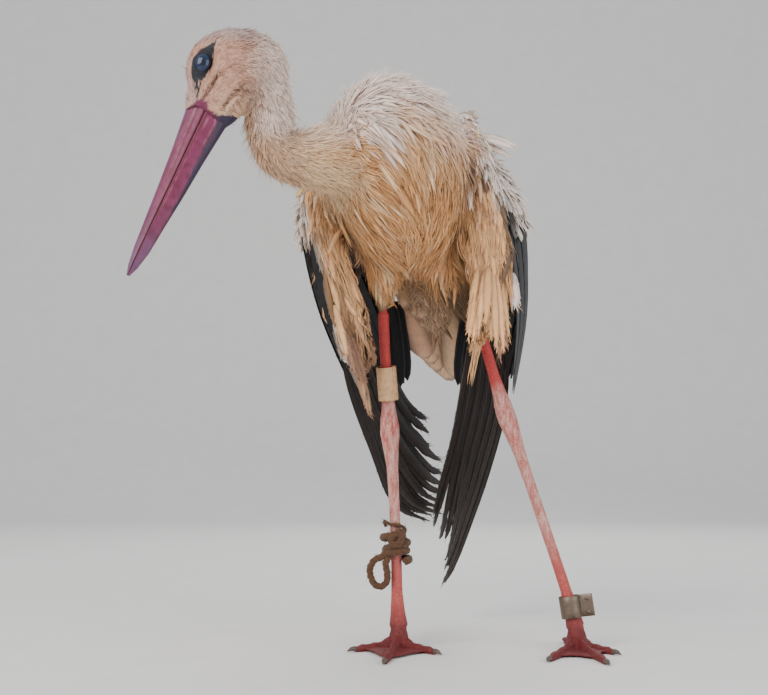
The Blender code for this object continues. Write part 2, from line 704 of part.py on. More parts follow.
def make_rope_bight(centre, look):
    """The small slack loop that hangs beside the knot."""
    bpy.ops.mesh.primitive_torus_add(
        major_segments=14, minor_segments=6, major_radius=0.0100, minor_radius=0.0036,
        location=centre + Vector((-0.0185, -0.006, -0.0265)), rotation=(math.radians(86), math.radians(14), 0),
    )
    bight = bpy.context.object
    bight.scale = (1.0, 1.45, 1.0)
    bight.data.materials.append(look)
    return bight


def move_origin():
    """Puts the floor point under the middle of the bird's box at the origin."""
    for group in (BIRD, CUTTERS):
        for shape in group.objects:
            shape.matrix_world = Matrix.Translation(-FLOOR_CENTRE) @ shape.matrix_world


def build():
    white = make_material("white feather", WHITE_FEATHER, 0.85)
    cream = make_material("stained breast feather", CREAM_FEATHER, 0.85)
    black = make_material("black flight feather", BLACK_FEATHER, 0.55)
    bill = make_material("bill horn", BILL_RED, 0.45)
    eye = make_material("eye", (0.01, 0.015, 0.03), 0.1)
    red_skin = make_material("leg skin red", LEG_RED, 0.6)
    pale_skin = make_material("leg skin limed", LEG_PALE, 0.7)
    claw = make_material("claw horn", (0.12, 0.10, 0.09), 0.5)
    band = make_material("plastic band", (0.66, 0.56, 0.40), 0.6)
    ring = make_material("worn aluminium ring", (0.55, 0.53, 0.50), 0.45, 0.8)
    rope = make_material("jute rope", (0.36, 0.27, 0.18), 0.9)
    trunk = make_trunk(cream)
    make_head_and_neck(cream, eye, bill, trunk)
    make_tail(white, trunk)
    make_wing("left", LEFT_WING, white, black, trunk)
    make_wing("right", RIGHT_WING, white, black, trunk)
    make_leg("left", LEFT_LEG, cream, pale_skin, claw, trunk)
    make_leg("right", RIGHT_LEG, cream, red_skin, claw, trunk)
    make_bands(band, ring, rope)
    move_origin()


clear_scene()
BIRD = make_collection("white_stork")
CUTTERS = make_collection("cutters")
build()
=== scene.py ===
"""Dresses the model of a white stork: skin, feathers, bill, eyes, legs, claws, what it wears, and a stage."""

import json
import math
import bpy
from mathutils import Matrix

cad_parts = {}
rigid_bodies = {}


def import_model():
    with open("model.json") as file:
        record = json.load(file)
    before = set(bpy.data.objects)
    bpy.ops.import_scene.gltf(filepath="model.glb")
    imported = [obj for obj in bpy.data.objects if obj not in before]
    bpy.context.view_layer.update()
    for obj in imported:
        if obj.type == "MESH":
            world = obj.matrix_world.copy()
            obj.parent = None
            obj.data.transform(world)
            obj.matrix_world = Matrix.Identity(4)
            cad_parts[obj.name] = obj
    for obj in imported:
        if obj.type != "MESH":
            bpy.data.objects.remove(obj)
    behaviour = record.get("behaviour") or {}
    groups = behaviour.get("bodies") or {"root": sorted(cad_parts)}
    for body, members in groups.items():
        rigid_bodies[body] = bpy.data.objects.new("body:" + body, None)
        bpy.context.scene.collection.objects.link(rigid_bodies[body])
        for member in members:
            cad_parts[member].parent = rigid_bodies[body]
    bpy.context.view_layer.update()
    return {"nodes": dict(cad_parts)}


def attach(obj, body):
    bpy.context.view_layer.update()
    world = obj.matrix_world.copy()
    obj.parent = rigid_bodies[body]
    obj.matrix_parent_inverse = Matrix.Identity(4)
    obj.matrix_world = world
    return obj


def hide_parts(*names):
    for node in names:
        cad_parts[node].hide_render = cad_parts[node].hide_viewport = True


bl_info = {
    "name": "White stork",
    "version": (1, 0, 0),
    "blender": (4, 5, 0),
    "location": "3D View > Sidebar > Stork",
    "description": "Builds the plumage, bare parts and worn bands of a standing white stork",
    "category": "Add Mesh",
}

import bmesh
import bpy
import numpy as np
from mathutils import Vector, noise
from mathutils.bvhtree import BVHTree

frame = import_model()

# The shapes below are laid out from a point on the floor beside the right foot. This is where the model's own
# origin lies in that layout.
ORIGIN = np.array((0.004, 0.052, 0.0))
UP = np.array((0.0, 0.0, 1.0))
FORWARD = np.array((0.0, -1.0, 0.0))
SKIN_MAP = "OFBake"  # the skin's flat map, which every feather takes its place from
SKIN_GROW = 0.0010  # how far the flesh is grown before it is made one skin, so that thin parts stay whole
DEEPEST = 0.03  # how far into the body its thickness is felt
PATCH = 0.003  # how broad a feather's patch is on that map
PIECE_TRIANGLES = 190000  # the most that one mesh of feathers may hold

# How far the skin lies inside each node of the flesh, so that the coat comes out to the flesh's outline
COAT_DEPTH = {
    "head": -0.0004, "neck_upper": 0.0012, "neck_lower": 0.0026, "trunk": 0.0040,
    "thigh_left": 0.0040, "thigh_right": 0.0040,
    "wing_left_arm": 0.0015, "wing_left_hand": 0.0022, "wing_right_arm": 0.0015, "wing_right_hand": 0.0022,
}
FLESH = tuple(COAT_DEPTH)
NECK = (
    (-0.1067, -0.153, 0.5091), (-0.1024, -0.150, 0.4917), (-0.1007, -0.147, 0.4753),
    (-0.0956, -0.143, 0.4600), (-0.0834, -0.139, 0.4538), (-0.0676, -0.134, 0.4534),
    (-0.0509, -0.126, 0.4557), (-0.0314, -0.108, 0.4600),
)
BILL_BASE = np.array((-0.153, -0.165, 0.489))
BILL_TIP = np.array((-0.216, -0.185, 0.338))
# (share of the bill's length, half width, culmen over the cutting edge, depth below it)
BILL_SECTIONS = (
    (0.00, 0.0125, 0.0195, 0.0205),
    (0.12, 0.0115, 0.0170, 0.0185),
    (0.30, 0.0100, 0.0135, 0.0155),
    (0.50, 0.0080, 0.0105, 0.0130),
    (0.70, 0.0062, 0.0078, 0.0098),
    (0.85, 0.0046, 0.0058, 0.0078),
    (0.95, 0.0028, 0.0034, 0.0044),
    (1.00, 0.0008, 0.0010, 0.0012),
)
EYE_MIDDLE = np.array((-0.1572, -0.1575, 0.5258))
EYE_ASIDE = 0.0174
EYE_RADIUS = 0.0085
EYE_OVAL = (0.0086, 0.0107)  # half the eyeball's breadth and height
EYE_LEAN = math.radians(-16)
# How far the lids stand out from the ball's surface, by the distance from the eye's middle
LID = ((0, 0.84, 0.98, 1.10, 1.22, 1.5, 1.8), (-0.0032, -0.0024, 0.0004, 0.0012, 0.0010, 0.0, -0.0002))
# The bare black skin runs as a spindle from the gape through the eye: (x, z, half width)
BARE_SPINDLE = (
    (-0.1616, 0.4950, 0.0008), (-0.1618, 0.5035, 0.0026), (-0.1616, 0.5110, 0.0050),
    (-0.1602, 0.5180, 0.0074), (-0.1575, 0.5265, 0.0092), (-0.1538, 0.5345, 0.0066),
    (-0.1492, 0.5410, 0.0026), (-0.1465, 0.5460, 0.0006),
)
# Where the face feathers end over the bill's base: (place across the bill from its ridge, place along it)
FACE_EDGE = (
    (-0.0210, 0.0105), (-0.0159, 0.0092), (-0.0126, 0.0058), (-0.0093, 0.0005), (-0.0044, -0.0050),
    (0.0000, -0.0005), (0.0035, 0.0036), (0.0131, 0.0050), (0.0200, 0.0000), (0.0280, -0.0060),
)
# How far the forehead's skin is drawn down the bill, by the place across it from the ridge
FOREHEAD_REACH = ((-0.0215, -0.0159, -0.0126, -0.0093, -0.0060), (0.0085, 0.0080, 0.0048, 0.0010, 0.0))
# Folds of the cheek behind the gape and of the throat: (x, z) from end to end
CREASES = (
    ((-0.1550, 0.4950), (-0.1500, 0.5020), (-0.1440, 0.5115)),
    ((-0.1392, 0.4860), (-0.1315, 0.4950), (-0.1235, 0.5040)),
)
HEAD_PLANE = -0.16  # y of the head's middle
# How the feathers lie on the head: (x, z, way along x, way along z)
HEAD_LIE = (
    (-0.1714, 0.4990, -0.10, 1.00), (-0.1730, 0.5200, 0.15, 1.00), (-0.1638, 0.5415, 0.60, 0.80),
    (-0.1425, 0.5540, 1.00, 0.30), (-0.1170, 0.5526, 0.95, -0.30), (-0.0958, 0.5370, 0.60, -0.80),
    (-0.0820, 0.5135, 0.25, -1.00), (-0.0820, 0.4906, 0.00, -1.00), (-0.1380, 0.5160, 0.80, 0.45),
    (-0.1170, 0.5246, 0.95, -0.20), (-0.1040, 0.5030, 0.55, -0.85), (-0.1300, 0.4950, 0.85, 0.10),
    (-0.1210, 0.4820, 0.70, -0.70), (-0.1000, 0.4735, 0.15, -1.00), (-0.1560, 0.4990, 0.35, 0.90),
    (-0.1480, 0.5350, 0.75, 0.60),
)
TAILWARD = Vector((0.163, 0.925, -0.342))
NECK_ROOT = np.array((-0.036, -0.110, 0.458))

LEFT_WING = {
    "hand": (
        (0.082, -0.008, 0.536), (0.090, -0.033, 0.491), (0.099, -0.046, 0.432), (0.104, -0.042, 0.378),
        (0.104, -0.030, 0.336), (0.095, -0.014, 0.304),
    ),
    "secondaries": (
        ((0.082, 0.000, 0.545), (0.117, -0.012, 0.440), (0.136, 0.022, 0.349), (0.137, 0.080, 0.258)),
        ((0.072, 0.070, 0.535), (0.140, 0.060, 0.464), (0.153, 0.090, 0.360), (0.138, 0.135, 0.255)),
        ((0.058, 0.138, 0.478), (0.116, 0.180, 0.432), (0.116, 0.212, 0.362), (0.088, 0.235, 0.310)),
    ),
    "primaries": (
        ((0.123, 0.004, 0.345), (0.126, 0.035, 0.255), (0.112, 0.100, 0.175), (0.081, 0.170, 0.090),
         (0.055, 0.215, 0.035)),
        ((0.113, 0.034, 0.350), (0.110, 0.072, 0.260), (0.095, 0.130, 0.182), (0.073, 0.180, 0.110),
         (0.056, 0.222, 0.060)),
        ((0.098, 0.062, 0.355), (0.087, 0.108, 0.275), (0.078, 0.148, 0.212), (0.068, 0.183, 0.158),
         (0.063, 0.205, 0.122)),
    ),
}
RIGHT_WING = {
    "hand": (
        (-0.063, -0.005, 0.490), (-0.065, -0.035, 0.450), (-0.060, -0.045, 0.403), (-0.046, -0.038, 0.349),
        (-0.033, -0.022, 0.306), (-0.022, -0.004, 0.272),
    ),
    "secondaries": (
        ((-0.062, 0.008, 0.512), (-0.086, 0.020, 0.433), (-0.072, 0.060, 0.350), (-0.035, 0.100, 0.260)),
        ((-0.020, 0.080, 0.520), (-0.080, 0.105, 0.452), (-0.057, 0.140, 0.360), (-0.014, 0.165, 0.257)),
        ((0.018, 0.150, 0.466), (-0.020, 0.190, 0.425), (0.007, 0.217, 0.350), (0.036, 0.215, 0.264)),
    ),
    "primaries": (
        ((-0.047, 0.012, 0.335), (-0.038, 0.055, 0.269), (-0.015, 0.110, 0.202), (0.011, 0.175, 0.135),
         (0.062, 0.235, 0.107)),
        ((-0.033, 0.040, 0.335), (-0.013, 0.080, 0.262), (0.013, 0.135, 0.206), (0.050, 0.195, 0.160),
         (0.082, 0.232, 0.149)),
        ((-0.019, 0.068, 0.335), (0.005, 0.103, 0.285), (0.028, 0.145, 0.250), (0.054, 0.178, 0.236),
         (0.074, 0.195, 0.236)),
    ),
}
WINGS = {"left": LEFT_WING, "right": RIGHT_WING}
THIGHS = {
    "left": (
        (0.050, 0.000, 0.400), (0.068, 0.003, 0.365), (0.086, 0.006, 0.332), (0.101, 0.011, 0.306),
    ),
    "right": (
        (0.006, -0.008, 0.400), (0.002, -0.006, 0.368), (-0.001, -0.003, 0.350), (-0.001, 0.001, 0.332),
    ),
}
# A leg's middle line from the feathers to the foot
LEG_LINES = {
    "left": (
        (0.098, 0.009, 0.314), (0.107, 0.015, 0.288), (0.115, 0.022, 0.262), (0.121, 0.027, 0.244),
        (0.126, 0.029, 0.228), (0.133, 0.027, 0.208), (0.142, 0.0245, 0.180), (0.166, 0.0175, 0.104),
        (0.182, 0.0135, 0.052), (0.189, 0.0115, 0.022),
    ),
    "right": (
        (-0.001, 0.000, 0.345), (0.001, 0.009, 0.290), (0.004, 0.018, 0.250), (0.005, 0.024, 0.230),
        (0.006, 0.026, 0.214), (0.007, 0.024, 0.196), (0.009, 0.0225, 0.170), (0.012, 0.019, 0.100),
        (0.013, 0.0155, 0.050), (0.0145, 0.013, 0.022),
    ),
}
LEG_VOXEL = 0.0011
HOCK_HEIGHT = {"left": 0.229, "right": 0.216}
FEET = {
    "left": ((0.190, 0.010), ((-27, 0.083), (7, 0.091), (38, 0.047), (189, 0.036))),
    "right": ((0.0145, 0.012), ((-62, 0.048), (-9, 0.090), (42, 0.051), (183, 0.036))),
}
TAIL_ROOT = np.array((0.044, 0.110, 0.368))
TAIL_HEADING = math.radians(7)
TAIL_DROOP = math.radians(24)
TAIL_LENGTH = 0.200
TAIL_HALF_BREADTH = 0.0165  # of one feather
TAIL_ENDS = ((-1, -0.5, 0, 0.4, 0.8, 1), (0.66, 0.82, 0.95, 1.0, 0.98, 0.90))  # how far each feather reaches
BAND_LEVEL = 0.2625
RING_LEVEL = 0.0402
ROPE_LEVEL = 0.1010
ROPE_LAY = 0.016  # how far along the rope its strands take to go round once


def srgb(red, green, blue):
    """A colour given as it looks on a screen, from 0 to 255, as linear light."""
    shares = (red / 255, green / 255, blue / 255)
    return tuple(((c + 0.055) / 1.055) ** 2.4 if c > 0.04045 else c / 12.92 for c in shares)


def shade_of(colour, share):
    """A colour made darker by a share below one, or paler by one above."""
    return tuple(min(1, c * share) for c in colour)


def colour_setting(name, description, default):
    return bpy.props.FloatVectorProperty(
        name=name, description=description, default=default, subtype="COLOR", size=3, min=0, max=1
    )


def length_setting(name, description, default):
    return bpy.props.FloatProperty(
        name=name, description=description, default=default, subtype="DISTANCE", unit="LENGTH", min=0,
        precision=4,
    )


def power_setting(name, description, default):
    return bpy.props.FloatProperty(
        name=name, description=description, default=default, min=0, subtype="POWER"
    )


class StorkPlumage(bpy.types.PropertyGroup):
    """Sizes and colours of the feathers."""

    seed: bpy.props.IntProperty(
        name="Seed", description="Picks where single feathers stand", default=11, min=0
    )
    abundance: bpy.props.FloatProperty(
        name="Abundance", description="Share of the full count of small feathers", default=1.0,
        min=0.05, max=1.5,
    )
    skin_voxel: length_setting("Skin detail", "Size of the skin's smallest squares", 0.0026)
    breast: colour_setting("Breast", "Stained plumes of breast and flanks", srgb(227, 168, 110))
    breast_deep: colour_setting("Breast shade", "Darker streaks of the stained plumes", srgb(188, 128, 76))
    breast_pale: colour_setting("Breast light", "Paler streaks of the stained plumes", srgb(240, 208, 168))
    back: colour_setting("Back", "Clean feathers of the back and nape", srgb(242, 219, 205))
    face: colour_setting("Face", "Short feathers of the face", srgb(200, 153, 129))
    crown: colour_setting("Crown", "Greyer feathers of crown and forehead", srgb(184, 160, 154))
    # The belly colour is painted shade: it darkens the low rear underside of the body, between the legs and
    # at the vent.
    belly: colour_setting("Belly", "Soiled feathers of belly and vent", srgb(104, 82, 60))
    wing_white: colour_setting("Lesser coverts", "White of the wing's small coverts", srgb(238, 222, 209))
    covert_cream: colour_setting("Coverts", "Cream of the leading edge and long coverts", srgb(233, 180, 127))
    # This brown also serves as painted shade where the breast runs in behind the wings and on the right
    # wing's inner side.
    covert_brown: colour_setting("Covert streaks", "Dark streaks between the long coverts", srgb(96, 68, 50))
    covert_soiled: colour_setting("Worn coverts", "Brown of the right wing's coverts", srgb(158, 118, 96))
    flight_black: colour_setting("Flight feathers", "Blue-black of the flight feathers", srgb(17, 17, 21))
    flight_worn: colour_setting("Worn flight feathers", "Brown of the worn primaries", srgb(52, 42, 36))
    tail: colour_setting("Tail", "Beige of the tail feathers", srgb(212, 170, 134))


class StorkBareParts(bpy.types.PropertyGroup):
    """Colours of bill, eyes, bare skin, legs and claws."""

    bill: colour_setting("Bill", "Muted raspberry of the horn", srgb(124, 48, 82))
    bill_deep: colour_setting("Bill shade", "Deeper red in the horn's grain", srgb(92, 24, 44))
    bill_grey: colour_setting("Bill edges", "Grey of the horn's edges and tip", srgb(106, 86, 118))
    bill_line: colour_setting("Bill lines", "Pale worn lines along the horn", srgb(182, 122, 136))
    bill_blue: colour_setting("Bill base strip", "Dark blue-grey under the bill's base", srgb(40, 46, 68))
    # This blue-grey is painted shade along the lower horn's underside; it also tints the upper horn's base
    # and the bare gape.
    bare_black: colour_setting("Bare face", "Black skin around the eye", srgb(26, 27, 34))
    # The eye's dark blue is partly a painted blue reflection on the wet eye, over its darker iris.
    eye: colour_setting("Eye", "Dark blue of the eye", srgb(18, 36, 70))
    leg_red: colour_setting("Upper leg", "Red of the leg above the hock", srgb(186, 60, 56))
    leg_pink: colour_setting("Lower leg", "Pale pink of the limed shank", srgb(192, 116, 104))
    leg_lime: colour_setting("Lime", "Whitish lime on the scales", srgb(226, 194, 180))
    # The feet's darker red is partly painted shade near the floor.
    foot_red: colour_setting("Foot", "Dark red of the feet", srgb(112, 36, 36))
    claw: colour_setting("Claws", "Horn of the claws", srgb(92, 78, 68))


class StorkWorn(bpy.types.PropertyGroup):
    """Sizes and colours of the leg band, the metal ring and the rope."""

    band_height: length_setting("Band height", "Height of the wide band above the right hock", 0.034)
    band_radius: length_setting("Band radius", "Outer radius of the wide band", 0.0105)
    band: colour_setting("Band", "Dusty cream of the wide band", srgb(206, 162, 118))
    ring_height: length_setting("Ring height", "Height of the metal ring", 0.0215)
    ring_radius: length_setting("Ring radius", "Outer radius of the metal ring", 0.0105)
    ring: colour_setting("Ring", "Dull metal of the ring", srgb(128, 112, 98))
    rope_radius: length_setting("Rope radius", "Half the thickness of the rope", 0.0043)
    rope: colour_setting("Rope", "Tan of the jute", srgb(96, 66, 46))


class StorkStage(bpy.types.PropertyGroup):
    """The floor, the lights and the camera."""

    floor: colour_setting("Floor", "Pale floor", srgb(236, 233, 229))
    key_power: power_setting("Key light", "Power of the large soft light", 64)
    fill_power: power_setting("Fill light", "Power of the light from the other side", 26)
    rim_power: power_setting("Rim light", "Power of the light behind the bird", 20)
    lens: bpy.props.FloatProperty(name="Lens", description="Focal length", default=51.56, unit="CAMERA")
    pitch: bpy.props.FloatProperty(
        name="Camera pitch", description="How far the camera looks up", default=math.radians(6.355),
        unit="ROTATION",
    )


# Numbers and curves


def smooth(low, high, value):
    """0 below low, 1 above high, and an even slope between. High may be under low."""
    share = np.clip((np.asarray(value, float) - low) / (high - low), 0, 1)
    return share * share * (3 - 2 * share)


def mix(first, second, share):
    share = np.asarray(share, float)[..., None]
    return np.asarray(first, float) * (1 - share) + np.asarray(second, float) * share


def unit(rows):
    rows = np.asarray(rows, float)
    return rows / np.maximum(np.linalg.norm(rows, axis=-1, keepdims=True), 1e-12)


def square_to(axis, way):
    """The direction nearest to way that is square to the axis."""
    return unit(way - axis * (way @ axis))


def between(rows, pick, low, share):
    """The values of the picked rows between the station low and the next one."""
    return rows[pick, low] * (1 - share) + rows[pick, low + 1] * share


def curve_at(stations, t):
    """The smooth curve through the stations at t from 0 to 1. A station may hold any count of numbers."""
    stations = np.asarray(stations, float)
    place = min(max(t, 0.0), 1.0) * (len(stations) - 1)
    i = min(int(place), len(stations) - 2)
    f = place - i
    before = stations[i - 1] if i else 2 * stations[0] - stations[1]
    last = len(stations) - 1
    after = stations[i + 2] if i + 2 <= last else 2 * stations[last] - stations[last - 1]
    a, b = stations[i], stations[i + 1]
    return 0.5 * (
        2 * a + (b - before) * f + (2 * before - 5 * a + 4 * b - after) * f**2
        + (3 * a - before - 3 * b + after) * f**3
    )


def curve_points(stations, count):
    return np.array([curve_at(stations, k / (count - 1)) for k in range(count)])


def line_distance(points, line):
    """How far each point is from a bent line, and the share along the line of its nearest place."""
    points = np.asarray(points, float)
    best = np.full(len(points), np.inf)
    share = np.zeros(len(points))
    pieces = len(line) - 1
    for k in range(pieces):
        start = np.asarray(line[k], float)
        run = np.asarray(line[k + 1], float) - start
        t = np.clip((points - start) @ run / (run @ run), 0, 1)
        gap = np.linalg.norm(points - (start + t[:, None] * run), axis=1)
        nearer = gap < best
        best = np.where(nearer, gap, best)
        share = np.where(nearer, (k + t) / pieces, share)
    return best, share


def wave_noise(points, scale, offset=0.0):
    """Soft noise from -1 to 1 at each point."""
    return np.array([noise.noise(p) for p in (points * scale + offset).tolist()])


# Meshes

RELAX_STEPS = (0.55, -0.57)  # towards the mean of the neighbours, then a little further back
ANY_WAY = (0.3, 0.2, 0.93)  # a way that no tube starts along


def put_object(name, data):
    """An object that holds the data, linked to the scene."""
    made = bpy.data.objects.new(name, data)
    bpy.context.scene.collection.objects.link(made)
    return made


def put_mesh(name, points, faces, look):
    """A smooth mesh object from points and faces of any size."""
    mesh = bpy.data.meshes.new(name)
    mesh.from_pydata(np.asarray(points, float).tolist(), [], [tuple(face) for face in faces])
    mesh.update()
    mesh.shade_smooth()
    mesh.materials.append(look)
    return put_object(name, mesh)


def put_rings(name, rings, look, fill=None):
    """A mesh of many like bodies. rings is (bodies, stations, corners, 3), and its ends are closed.

    fill(mesh, loops) sets the mesh's colours and maps, where it has any.
    """
    bodies, stations, corners = rings.shape[:3]
    start = np.arange(bodies)[:, None, None] * (stations * corners)
    k = np.arange(stations - 1)[None, :, None] * corners
    j = np.arange(corners)[None, None, :]
    after = (j + 1) % corners
    here = start + k
    quads = [here + j, here + corners + j, here + corners + after, here + after]
    quads = np.stack(quads, axis=-1).reshape(-1, 4)
    base = np.arange(bodies)[:, None] * (stations * corners)
    first = base + np.arange(corners)[None, :]
    last = (base + (stations - 1) * corners + np.arange(corners)[None, :])[:, ::-1]
    caps = np.concatenate([first, last])
    loops = np.concatenate([quads.ravel(), caps.ravel()])
    sizes = np.concatenate([np.full(len(quads), 4), np.full(len(caps), corners)])
    mesh = bpy.data.meshes.new(name)
    mesh.vertices.add(bodies * stations * corners)
    mesh.vertices.foreach_set("co", rings.astype(np.float32).ravel())
    mesh.loops.add(len(loops))
    mesh.loops.foreach_set("vertex_index", loops.astype(np.int32))
    mesh.polygons.add(len(sizes))
    mesh.polygons.foreach_set("loop_start", (np.cumsum(sizes) - sizes).astype(np.int32))
    mesh.update(calc_edges=True)
    mesh.shade_smooth()
    mesh.materials.append(look)
    if fill:
        fill(mesh, loops)
    return put_object(name, mesh)


def face_outward(shape):
    build = bmesh.new()
    build.from_mesh(shape.data)
    bmesh.ops.recalc_face_normals(build, faces=build.faces)
    build.to_mesh(shape.data)
    build.free()


def put_closed(name, rings, look):
    """A mesh of closed bodies without markings, whose faces look outward."""
    made = put_rings(name, rings, look)
    face_outward(made)
    return made


def set_tint(mesh, colours):
    layer = mesh.color_attributes.new(name="tint", type="FLOAT_COLOR", domain="POINT")
    rows = np.ones((len(mesh.vertices), 4), np.float32)
    rows[:, :3] = colours
    layer.data.foreach_set("color", rows.ravel())


def set_rows(mesh, name, values):
    layer = mesh.attributes.new(name=name, type="FLOAT_VECTOR", domain="POINT")
    layer.data.foreach_set("vector", np.asarray(values, np.float32).ravel())


def set_number(mesh, name, values):
    layer = mesh.attributes.new(name=name, type="FLOAT", domain="POINT")
    layer.data.foreach_set("value", np.asarray(values, np.float32).ravel())


def points_of(mesh, kind="co"):
    rows = np.empty(len(mesh.vertices) * 3, np.float32)
    mesh.vertices.foreach_get(kind, rows)
    return rows.reshape(-1, 3).astype(float)


def place_points(mesh, points):
    mesh.vertices.foreach_set("co", np.asarray(points, np.float32).ravel())
    mesh.update()


def closed_copy(node, grow):
    """Points and faces of a node of the frame, its corners joined and moved out along the normals by grow."""
    build = bmesh.new()
    build.from_mesh(frame["nodes"][node].data)
    bmesh.ops.remove_doubles(build, verts=build.verts, dist=2e-5)
    bmesh.ops.recalc_face_normals(build, faces=build.faces)
    build.normal_update()
    points = [vertex.co + vertex.normal * grow for vertex in build.verts]
    faces = [[vertex.index for vertex in face.verts] for face in build.faces]
    build.free()
    return points, faces


def ball(centre, radius):
    """Points and faces of a closed ball."""
    build = bmesh.new()
    bmesh.ops.create_icosphere(build, subdivisions=3, radius=1.0)
    points = [Vector(centre + np.array(vertex.co) * radius) for vertex in build.verts]
    faces = [[vertex.index for vertex in face.verts] for face in build.faces]
    build.free()
    return points, faces


def fused(name, nodes, voxel, grow, look, extra=()):
    """One closed mesh round several nodes of the frame, with what finds the node nearest to a point."""
    points, faces, owner = [], [], []
    bodies = [closed_copy(node, grow) for node in nodes] + list(extra)
    for number, (some, more) in enumerate(bodies):
        faces += [[index + len(points) for index in face] for face in more]
        owner += [number] * len(more)
        points += some
    rough = put_mesh(name + "_rough", [tuple(p) for p in points], faces, look)
    finder = BVHTree.FromPolygons(points, faces)
    remesh = rough.modifiers.new("one skin", "REMESH")
    remesh.mode = "VOXEL"
    remesh.voxel_size = voxel
    remesh.use_smooth_shade = True
    bpy.context.view_layer.update()
    mesh = bpy.data.meshes.new_from_object(rough.evaluated_get(bpy.context.evaluated_depsgraph_get()))
    bpy.data.objects.remove(rough, do_unlink=True)
    mesh.name = name
    return put_object(name, mesh), finder, owner


def neighbour_mean(mesh):
    """A function that gives each point the mean of its neighbours' values."""
    edges = np.empty(len(mesh.edges) * 2, np.int32)
    mesh.edges.foreach_get("vertices", edges)
    edges = edges.reshape(-1, 2)
    count = np.bincount(edges.ravel(), minlength=len(mesh.vertices)).astype(float)

    def mean(values):
        values = np.asarray(values, float)
        flat = values.reshape(len(values), -1)
        total = np.empty_like(flat)
        for c in range(flat.shape[1]):
            total[:, c] = (
                np.bincount(edges[:, 0], weights=flat[edges[:, 1], c], minlength=len(values))
                + np.bincount(edges[:, 1], weights=flat[edges[:, 0], c], minlength=len(values))
            )
        return (total / np.maximum(count, 1)[:, None]).reshape(values.shape)

    return mean


def relax(points, mean, rounds):
    """Takes the steps out of a remeshed surface without shrinking it."""
    for _ in range(rounds):
        for step in RELAX_STEPS:
            points = points + (mean(points) - points) * step
    return points


def tube(centres, radii, sides):
    """Rings round a line of centres. radii is (stations,) or (stations, sides)."""
    if radii.ndim == 1:
        radii = np.repeat(radii[:, None], sides, axis=1)
    ahead = unit(np.gradient(centres, axis=0))
    side = np.cross(ahead[0], ANY_WAY)
    angle = 2 * math.pi * np.arange(sides) / sides
    rings = np.empty((len(centres), sides, 3))
    for k in range(len(centres)):
        side = side - ahead[k] * (side @ ahead[k])
        side = side / np.linalg.norm(side)
        other = np.cross(ahead[k], side)
        way = np.cos(angle)[:, None] * side + np.sin(angle)[:, None] * other
        rings[k] = centres[k] + way * radii[k][:, None]
    return rings


# Materials


class Look:
    """A material under construction: its nodes are added and joined by name."""

    def __init__(self, name, roughness, **fixed):
        self.material = bpy.data.materials.new(name)
        self.material.use_nodes = True
        self.tree = self.material.node_tree
        self.shader = self.tree.nodes["Principled BSDF"]
        self.shader.inputs["Roughness"].default_value = roughness
        for socket, value in fixed.items():
            self.shader.inputs[socket.replace("_", " ")].default_value = value

    def add(self, kind, inputs=None, **settings):
        node = self.tree.nodes.new("ShaderNode" + kind)
        for key, value in settings.items():
            setattr(node, key, value)
        for key, value in (inputs or {}).items():
            self.feed(node.inputs[key], value)
        return node

    def feed(self, socket, value):
        """Joins a node's output to the socket, or sets the socket to a plain value."""
        if isinstance(value, bpy.types.NodeSocket):
            self.tree.links.new(value, socket)
        else:
            socket.default_value = value

    def place(self):
        return self.add("TexCoord").outputs["Object"]

    def stretched(self, scale, vector=None, rotation=(0.0, 0.0, 0.0)):
        """Places drawn out along an axis, for grain and scratches."""
        inputs = {"Vector": vector or self.place(), "Rotation": rotation, "Scale": scale}
        return self.add("Mapping", inputs).outputs["Vector"]

    def attribute(self, name, output="Fac"):
        return self.add("Attribute", attribute_name=name).outputs[output]

    def noise(self, scale, detail=3.0, vector=None, roughness=0.55):
        inputs = {"Scale": scale, "Detail": detail, "Roughness": roughness, "Vector": vector or self.place()}
        return self.add("TexNoise", inputs).outputs["Fac"]

    def ramp(self, factor, *stops):
        node = self.add("ValToRGB", {"Fac": factor})
        elements = node.color_ramp.elements
        for number, (spot, colour) in enumerate(stops):
            shade = (*colour, 1) if isinstance(colour, tuple) else (colour, colour, colour, 1)
            element = elements[number] if number < 2 else elements.new(spot)
            element.position = spot
            element.color = shade
        return node.outputs["Color"]

    def math(self, operation, first, second):
        return self.add("Math", {0: first, 1: second}, operation=operation).outputs[0]

    def blend(self, factor, first, second, kind="MIX"):
        """Two colours blended. The second may be a plain red, green and blue."""
        node = self.add("Mix", data_type="RGBA", blend_type=kind)
        second = (*second, 1) if isinstance(second, tuple) else second
        for key, value in zip(("Factor", "A", "B"), (factor, first, second)):
            self.feed(next(s for s in node.inputs if s.name == key and s.enabled), value)
        return next(s for s in node.outputs if s.enabled)

    def colour(self, socket):
        self.tree.links.new(socket, self.shader.inputs["Base Color"])

    def rough(self, socket):
        self.tree.links.new(socket, self.shader.inputs["Roughness"])

    def bump(self, height, distance, strength=1.0, under=None):
        inputs = {"Height": height, "Distance": distance, "Strength": strength}
        if under is not None:
            inputs["Normal"] = under
        result = self.add("Bump", inputs).outputs["Normal"]
        self.tree.links.new(result, self.shader.inputs["Normal"])
        return result


